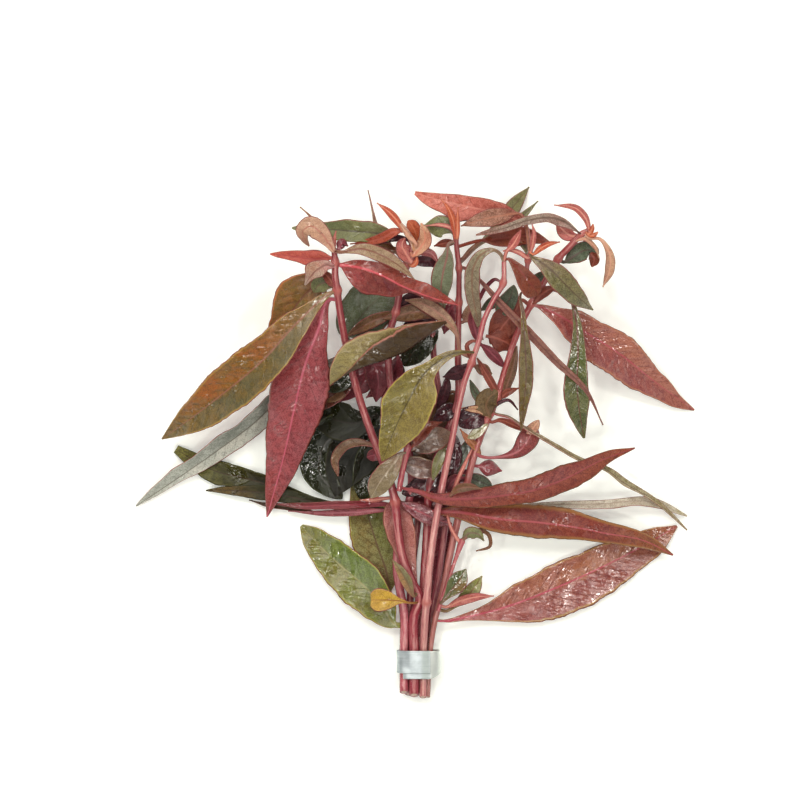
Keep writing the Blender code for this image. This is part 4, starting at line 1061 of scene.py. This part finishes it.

# The small leaves. Short side shoots inside the bunch carry narrow, folded and partly wilted leaves, mostly
# dark red and brown, and a few pale stalks that have lost their leaf. A few dark leaves low among the stems
# are painted shade, darkening the gaps between the packed stems.
SMALL_LEAVES = [
    ("strip_low_left", "7c343c 8a4048 8c4048 5a3028 a06068 b89090 5a1c24 9a5a5c", 3,
     [(394, 511, 9), (350, 512.5, 8), (320, 513, 6.4), (288, 511, 4.6)], {}),
    ("strip_tip_left", "3c2a18 3c2a18 4a2a20 4a3420 4a3424 a87c40 2a1c10 4c3420", 2.6,
     [(314, 512.5, 5.7), (302, 509, 4.2), (284, 506.5, 3), (268, 505, 2.4), (249, 500, 1.6)], {}),
    ("olive_droop", "moss", 8,
     [(336, 287, 40), (328, 282, 40), (319, 285, 39), (314, 292, 36)], {"fullness": 0.7}),
    ("brick_droop", "brick", 4,
     [(336, 288, 42), (331, 281, 42.5), (326, 275, 42), (321, 271, 41)], {"fullness": 0.7}),
    # Painted shade: a dark leaf behind the stems, darkening the gap between them.
    ("dark_stem_fill", "maroon", 9,
     [(447, 516, 4), (442, 545, 3.6), (436, 572, 3.2), (430, 604, 3)], {"fullness": 0.5}),
    ("glossy_behind", "742c34 6c2830 7c343c 5a2026 a05058 7a3c40 48161c 9c6a70", 7,
     [(402, 503, 12.5), (416, 510, 13), (433, 518, 13),
      (452, 524, 11)], {"fullness": 0.7, "wet": 0.6, "quilt": 0.06}),
    ("red_band_left", "5c2a20 50241c 64302a 4c2018 6c382c 6a3828 34140e 5c3428", 6,
     [(356, 376, 15), (344, 388, 14.5), (332, 399, 13), (320, 410, 10)], {"fullness": 0.7, "wet": 0.8}),
    ("wet_under_roll", "ivy", 7,
     [(356, 372, 17.5), (346, 380, 17), (336, 386, 16),
      (326, 390, 14)], {"fullness": 0.7, "wet": 0.6, "quilt": 0.06}),
    ("wet_beside_stem", "ivy", 9,
     [(390, 420, 9), (379, 416, 9), (368, 419, 8),
      (356, 428, 7)], {"fullness": 0.7, "wet": 0.6, "quilt": 0.06}),
    ("wet_far", "ivy", 17,
     [(376, 424, 6), (350, 426, 5), (325, 444, 4), (319, 470, 3),
      (342, 499, 1.5)], {"fullness": 0.6, "wet": 0.6, "quilt": 0.06, "crumple": 0.5}),
    ("wet_under", "ivy", 14,
     [(394, 428, 6), (378, 450, 5), (366, 475, 4), (362, 500, 2)], {"fullness": 0.6, "wet": 0.8}),
    ("dark_back_left", "maroon", 14,
     [(396, 348, 12.5), (372, 366, 12.5), (350, 384, 11), (326, 402, 8)], {"fullness": 0.7}),
    ("dark_back_centre", "plum", 12,
     [(400, 356, 11), (394, 382, 11), (400, 408, 10), (410, 436, 8)], {"fullness": 0.6, "wet": 0.8}),
    ("dark_low_centre", "umber", 17,
     [(454, 392, 10), (440, 418, 10), (424, 448, 9), (414, 482, 7)], {"fullness": 0.6, "wet": 0.8}),
    ("between_left", "umber", 5.5, [(397, 312, 25), (380, 318, 24), (362, 327, 22), (345, 337, 19)], {}),
    ("olive_crossing", "umber", 7,
     [(438, 319, 27), (420, 312, 27.5), (400, 315, 27), (382, 319, 25)], {"fold": -15}),
    ("brown_crossing", "fawn", 6,
     [(461, 352, 28), (456, 332, 30), (441, 315, 30.5), (423, 304, 29.5),
      (405, 300, 27)], {"peak": 0.6, "fold": -15}),
    ("red_behind_joint", "maroon", 7, [(457, 303, 23), (449, 312, 23), (447, 322, 22), (444, 334, 20)], {}),
    ("purple_crossing", "plum", 8, [(436, 318, 19), (428, 322, 20), (414, 326, 20), (398, 336, 18)], {}),
    ("dark_spot", "plum", 6,
     [(401, 306, 24), (409, 300, 25), (417, 302, 24), (424, 308, 22)], {"fullness": 0.7}),
    ("wet_centre", "ivy", 12,
     [(437, 330, 16), (426, 338, 17), (416, 349, 16.5),
      (404, 366, 13)], {"fullness": 0.7, "wet": 0.6, "quilt": 0.06}),
    ("red_low_left", "maroon", 10,
     [(362, 348, 16), (372, 360, 17), (378, 378, 16), (376, 402, 13)], {"fullness": 0.8}),
    ("red_low_centre", "maroon", 9, [(398, 352, 14), (396, 366, 15), (384, 384, 14), (366, 398, 12)], {}),
    ("wilted_left", "umber", 9, [(356, 380, 14), (340, 388, 14), (325, 394, 12), (312, 392, 9)], {}),
    ("brown_far_left", "brick", 8, [(350, 372, 15), (332, 376, 15), (315, 384, 13), (300, 402, 9)], {}),
    ("pale_spike", "fawn", 3,
     [(400, 256, 31), (390, 246, 29), (379, 231, 29.5, 40), (374, 214, 32, 70), (368, 190, 35, 70)], {}),
    ("pale_hair", "fawn", 1, [(321, 234, 51.6), (316, 223, 52), (308, 214, 51.5), (300, 207, 51)], {}),
    ("green_top_back", "fern", 8,
     [(497, 318, 25), (505, 306, 26.5), (511, 296, 27), (514, 285, 26)], {"fullness": 0.7}),
    ("green_top_left", "fern", 5, [(506, 303, 26), (497, 301, 24), (489, 305, 22.5), (480, 311, 21)], {}),
    ("tip_beside", "moss", 4.5,
     [(527, 256, 35), (525, 246, 28), (519, 233, 26), (515, 224, 26), (524, 215, 27), (531, 208, 27),
      (538, 201, 26)], {}),
    ("green_right_back", "fern", 4.5, [(531, 290, 29), (537, 280, 30), (546, 270, 29)], {}),
    ("brick_broad", "brick", 12,
     [(522, 300, 27), (514, 312, 27), (503, 326, 26), (490, 344, 23)], {"fullness": 0.7, "fold": -12}),
    ("brick_lower", "brick", 10,
     [(486, 336, 25), (496, 338, 26), (507, 343, 25), (516, 352, 22)], {"fold": -15}),
    ("maroon_lower", "maroon", 4.5,
     [(480, 344, 28.5), (489, 351, 26.5), (497, 359, 25), (506, 369, 22)], {}),
    ("maroon_low_stem", "maroon", 4.5,
     [(478, 342, 28), (475, 330, 28), (473, 320, 26), (475, 306, 23)], {"fullness": 0.6}),
    ("tan_knob", "fawn", 4.5, [(463, 322, 21), (468, 314, 22), (470, 304, 22)], {"fullness": 0.6}),
    ("red_arm_left", "brick", 3.4,
     [(499, 400, 23.5), (492, 384, 25.5), (485, 372, 26), (477, 358, 25)], {"fullness": 0.6}),
    ("brown_arm_right", "umber", 4,
     [(500, 398, 23), (508, 382, 25), (513, 366, 26), (517, 346, 25)], {"fullness": 0.7}),
    ("red_arm_short", "brick", 3, [(499, 397, 23.5), (508, 392, 25), (519, 388, 24.5)], {}),
    ("plum_strip", "plum", 4.5,
     [(449, 376, 17), (446, 388, 17), (442, 400, 15), (437, 412, 12)], {"fullness": 0.7}),
    ("plum_gap", "plum", 6, [(473, 362, 26), (464, 370, 25), (454, 374, 22), (443, 377, 18)], {}),
    ("umber_gap", "umber", 5, [(474, 366, 25), (482, 369, 25), (492, 374, 23)], {}),
    ("olive_brown", "5a4424 4e3c20 5a3c24 5c4828 6a4a30 644c2c 382814 6a5434", 9,
     [(490, 416, 23.5), (486, 406, 25), (489, 398, 26), (498, 391, 25)], {"fullness": 0.6, "fold": -10}),
    ("ivy_strip", "fern", 4,
     [(488, 414, 22), (483, 404, 23), (476, 394, 22), (470, 380, 19)], {"fullness": 0.7}),
    ("wet_crimson", "plum", 10,
     [(489, 416, 21), (478, 416, 22.5), (468, 419, 22),
      (459, 426, 19)], {"fullness": 0.6, "wet": 1, "crumple": 3}),
    ("wet_crimson_rim", "a87c5c a07454 9c5c4c b08c68 8c5c48 c8a47c 744830 b89474", 3,
     [(490, 417, 22.5), (480, 410, 24), (470, 409, 24), (460, 408, 22.5)], {}),
    ("striped_wet", "a8a084 989478 a08468 8c8458 7c7448 b4a890 6c6038 d8d4c0", 4.5,
     [(487, 424, 22), (480, 430, 22.5), (474, 435, 22), (466, 438, 20)], {"wet": 1}),
    ("tan_fold", "8a5030 84482c 8a5a38 a06040 9c6448 b07c50 5c3018 a87450", 3.5,
     [(479, 455, 18.5), (474, 445, 20), (467, 438, 20.5), (460, 429, 20)], {}),
    ("dark_crossing", "plum", 7,
     [(457, 405, 15), (450, 410, 17), (442, 415, 17), (433, 420, 15)], {"wet": 1}),
    ("orange_lobe", "brick", 5, [(411, 447, 23), (419, 437, 24), (428, 427, 24), (442, 422, 22.5)], {}),
    ("brown_wet", "665044 5e483c 4a3a30 a07858 7a5c4c 8a6048 40302a 7c6458", 11,
     [(411, 450, 21), (424, 442, 22), (437, 438, 21.5),
      (452, 434, 18.5)], {"fullness": 0.7, "wet": 1, "crumple": 2.5}),
    ("brown_below", "66483e 6a4c42 40302a 6e5044 7a5c4c a08468 3c2a24 80645c", 9,
     [(402, 462, 16), (414, 466, 17), (426, 469, 17),
      (440, 470, 15)], {"fullness": 0.6, "wet": 1, "crumple": 2.5}),
    ("olive_slip", "6c6a38 686638 6a5a38 6e6c40 5a5030 7a7444 4c4a28 84805a", 4.6,
     [(446, 446, 20), (440, 457, 20.5), (436, 468, 20), (433, 480, 18)], {"fullness": 0.7, "wet": 0.8}),
    # Painted shade: dark leaves under the stems, darkening the gaps between them.
    ("shade_under_stems", "maroon", 14,
     [(472, 468, 8), (450, 486, 7.5), (428, 501, 6.5), (402, 514, 5)], {"fullness": 0.5, "wet": 0.6}),
    ("shade_low_left", "plum", 8,
     [(446, 474, 12.5), (432, 480, 12), (418, 487, 11), (402, 494, 10)], {"fullness": 0.5, "wet": 0.8}),
    ("shade_low_right", "maroon", 8,
     [(462, 482, 11), (452, 488, 10.5), (440, 496, 9.5), (424, 504, 8)], {"fullness": 0.5, "wet": 0.8}),
    ("dark_slips", "plum", 5, [(452, 432, 14), (456, 448, 15), (455, 464, 15), (450, 482, 13)], {"wet": 1}),
    ("green_slip", "4c5444 465040 504c40 5a6050 4a4440 606450 30382c 7c8478", 5.5,
     [(470, 436, 13), (466, 448, 14), (461, 458, 14), (457, 474, 12)], {"wet": 1}),
    ("maroon_slip", "maroon", 4, [(463, 478, 14), (456, 478, 15), (450, 484, 15), (447, 494, 13)], {}),
    ("green_under", "5a6250 545c4c 5c5448 666a58 504844 6a6c58 3c4434 808878", 6,
     [(466, 476, 10.5), (476, 480, 10.5), (483, 483, 10), (492, 487, 8)], {"fullness": 0.6}),
    ("folded_base", "umber", 4, [(450, 496, 25), (458, 489, 26.5), (468, 487, 27), (482, 489, 26)], {}),
    ("curl_left", "604636 563e2e 6a3c34 98484a 6c5240 907058 3c281c 80664e", 4.6,
     [(378, 447, 20.5, -20), (360, 443, 20.5, -25), (346, 446, 20, -30), (336, 458, 18.5, -30),
      (338, 476, 15)], {"peak": 0.5, "fullness": 0.7}),
    ("maroon_left", "maroon", 5, [(382, 455, 19), (375, 455, 19), (367, 457, 17)], {"fullness": 0.6}),
    ("mauve_left_low", "rose", 2, [(388, 498, 14), (374, 500, 14), (360, 500, 13)], {}),
    ("second_arc", "brick", 3,
     [(491, 422, 22.5), (500, 420, 23.5), (509, 423, 24), (520, 428, 23.5), (536, 432, 22)], {"fold": 25}),
    ("arc_end", "blush", 4.5, [(527, 434, 22), (533, 428, 23.5), (539, 420, 24)], {"fullness": 0.6}),
    ("dark_arc", "plum", 1.4,
     [(489, 412, 22.5), (499, 403, 24), (508, 400, 24.5), (518, 410, 23)], {"fullness": 0.5}),
    ("cross_stalk", "maroon", 1.5,
     [(478, 303, 24), (484, 290, 26), (492, 281, 28), (503, 283, 37.5)], {"fullness": 0.5}),
    ("loop_stalk", "brick", 1.8,
     [(474, 365, 31), (469, 354, 32), (467, 345, 32), (473, 341, 32), (480, 343, 32.5)], {"fullness": 0.4}),
    ("shiny_twig", "rose", 1.6,
     [(450, 497, 19), (457, 481, 20), (464, 466, 20.5), (472, 449, 20.5)], {"fullness": 0.3}),
    ("brown_pair_stalk", "umber", 1.4,
     [(462, 259, 31), (470, 250, 31), (482, 240, 31.3)], {"fullness": 0.3}),
    ("olive_small_low", "moss", 5,
     [(462, 540, 15), (470, 533, 16.5), (478, 534, 16.5), (484, 541, 15)], {"fold": -20}),
    ("dark_ring_low", "umber", 1.6,
     [(463, 540, 15.5), (476, 530, 15), (488, 534, 14), (490, 546, 12),
      (476, 551, 10.5)], {"fullness": 0.4}),
    ("pink_flap", "rose", 4, [(445, 607, 10.5), (460, 601, 12.5), (476, 597, 12.5), (494, 596, 10)], {}),
    ("pink_low_left", "rose", 1.5, [(460, 543, 15), (452, 530, 16), (447, 515, 16)], {"fullness": 0.3}),
]
for name, skin_tones, width, rib, more in SMALL_LEAVES:
    hang(blade(name, skin_tones, width, rib, **more))
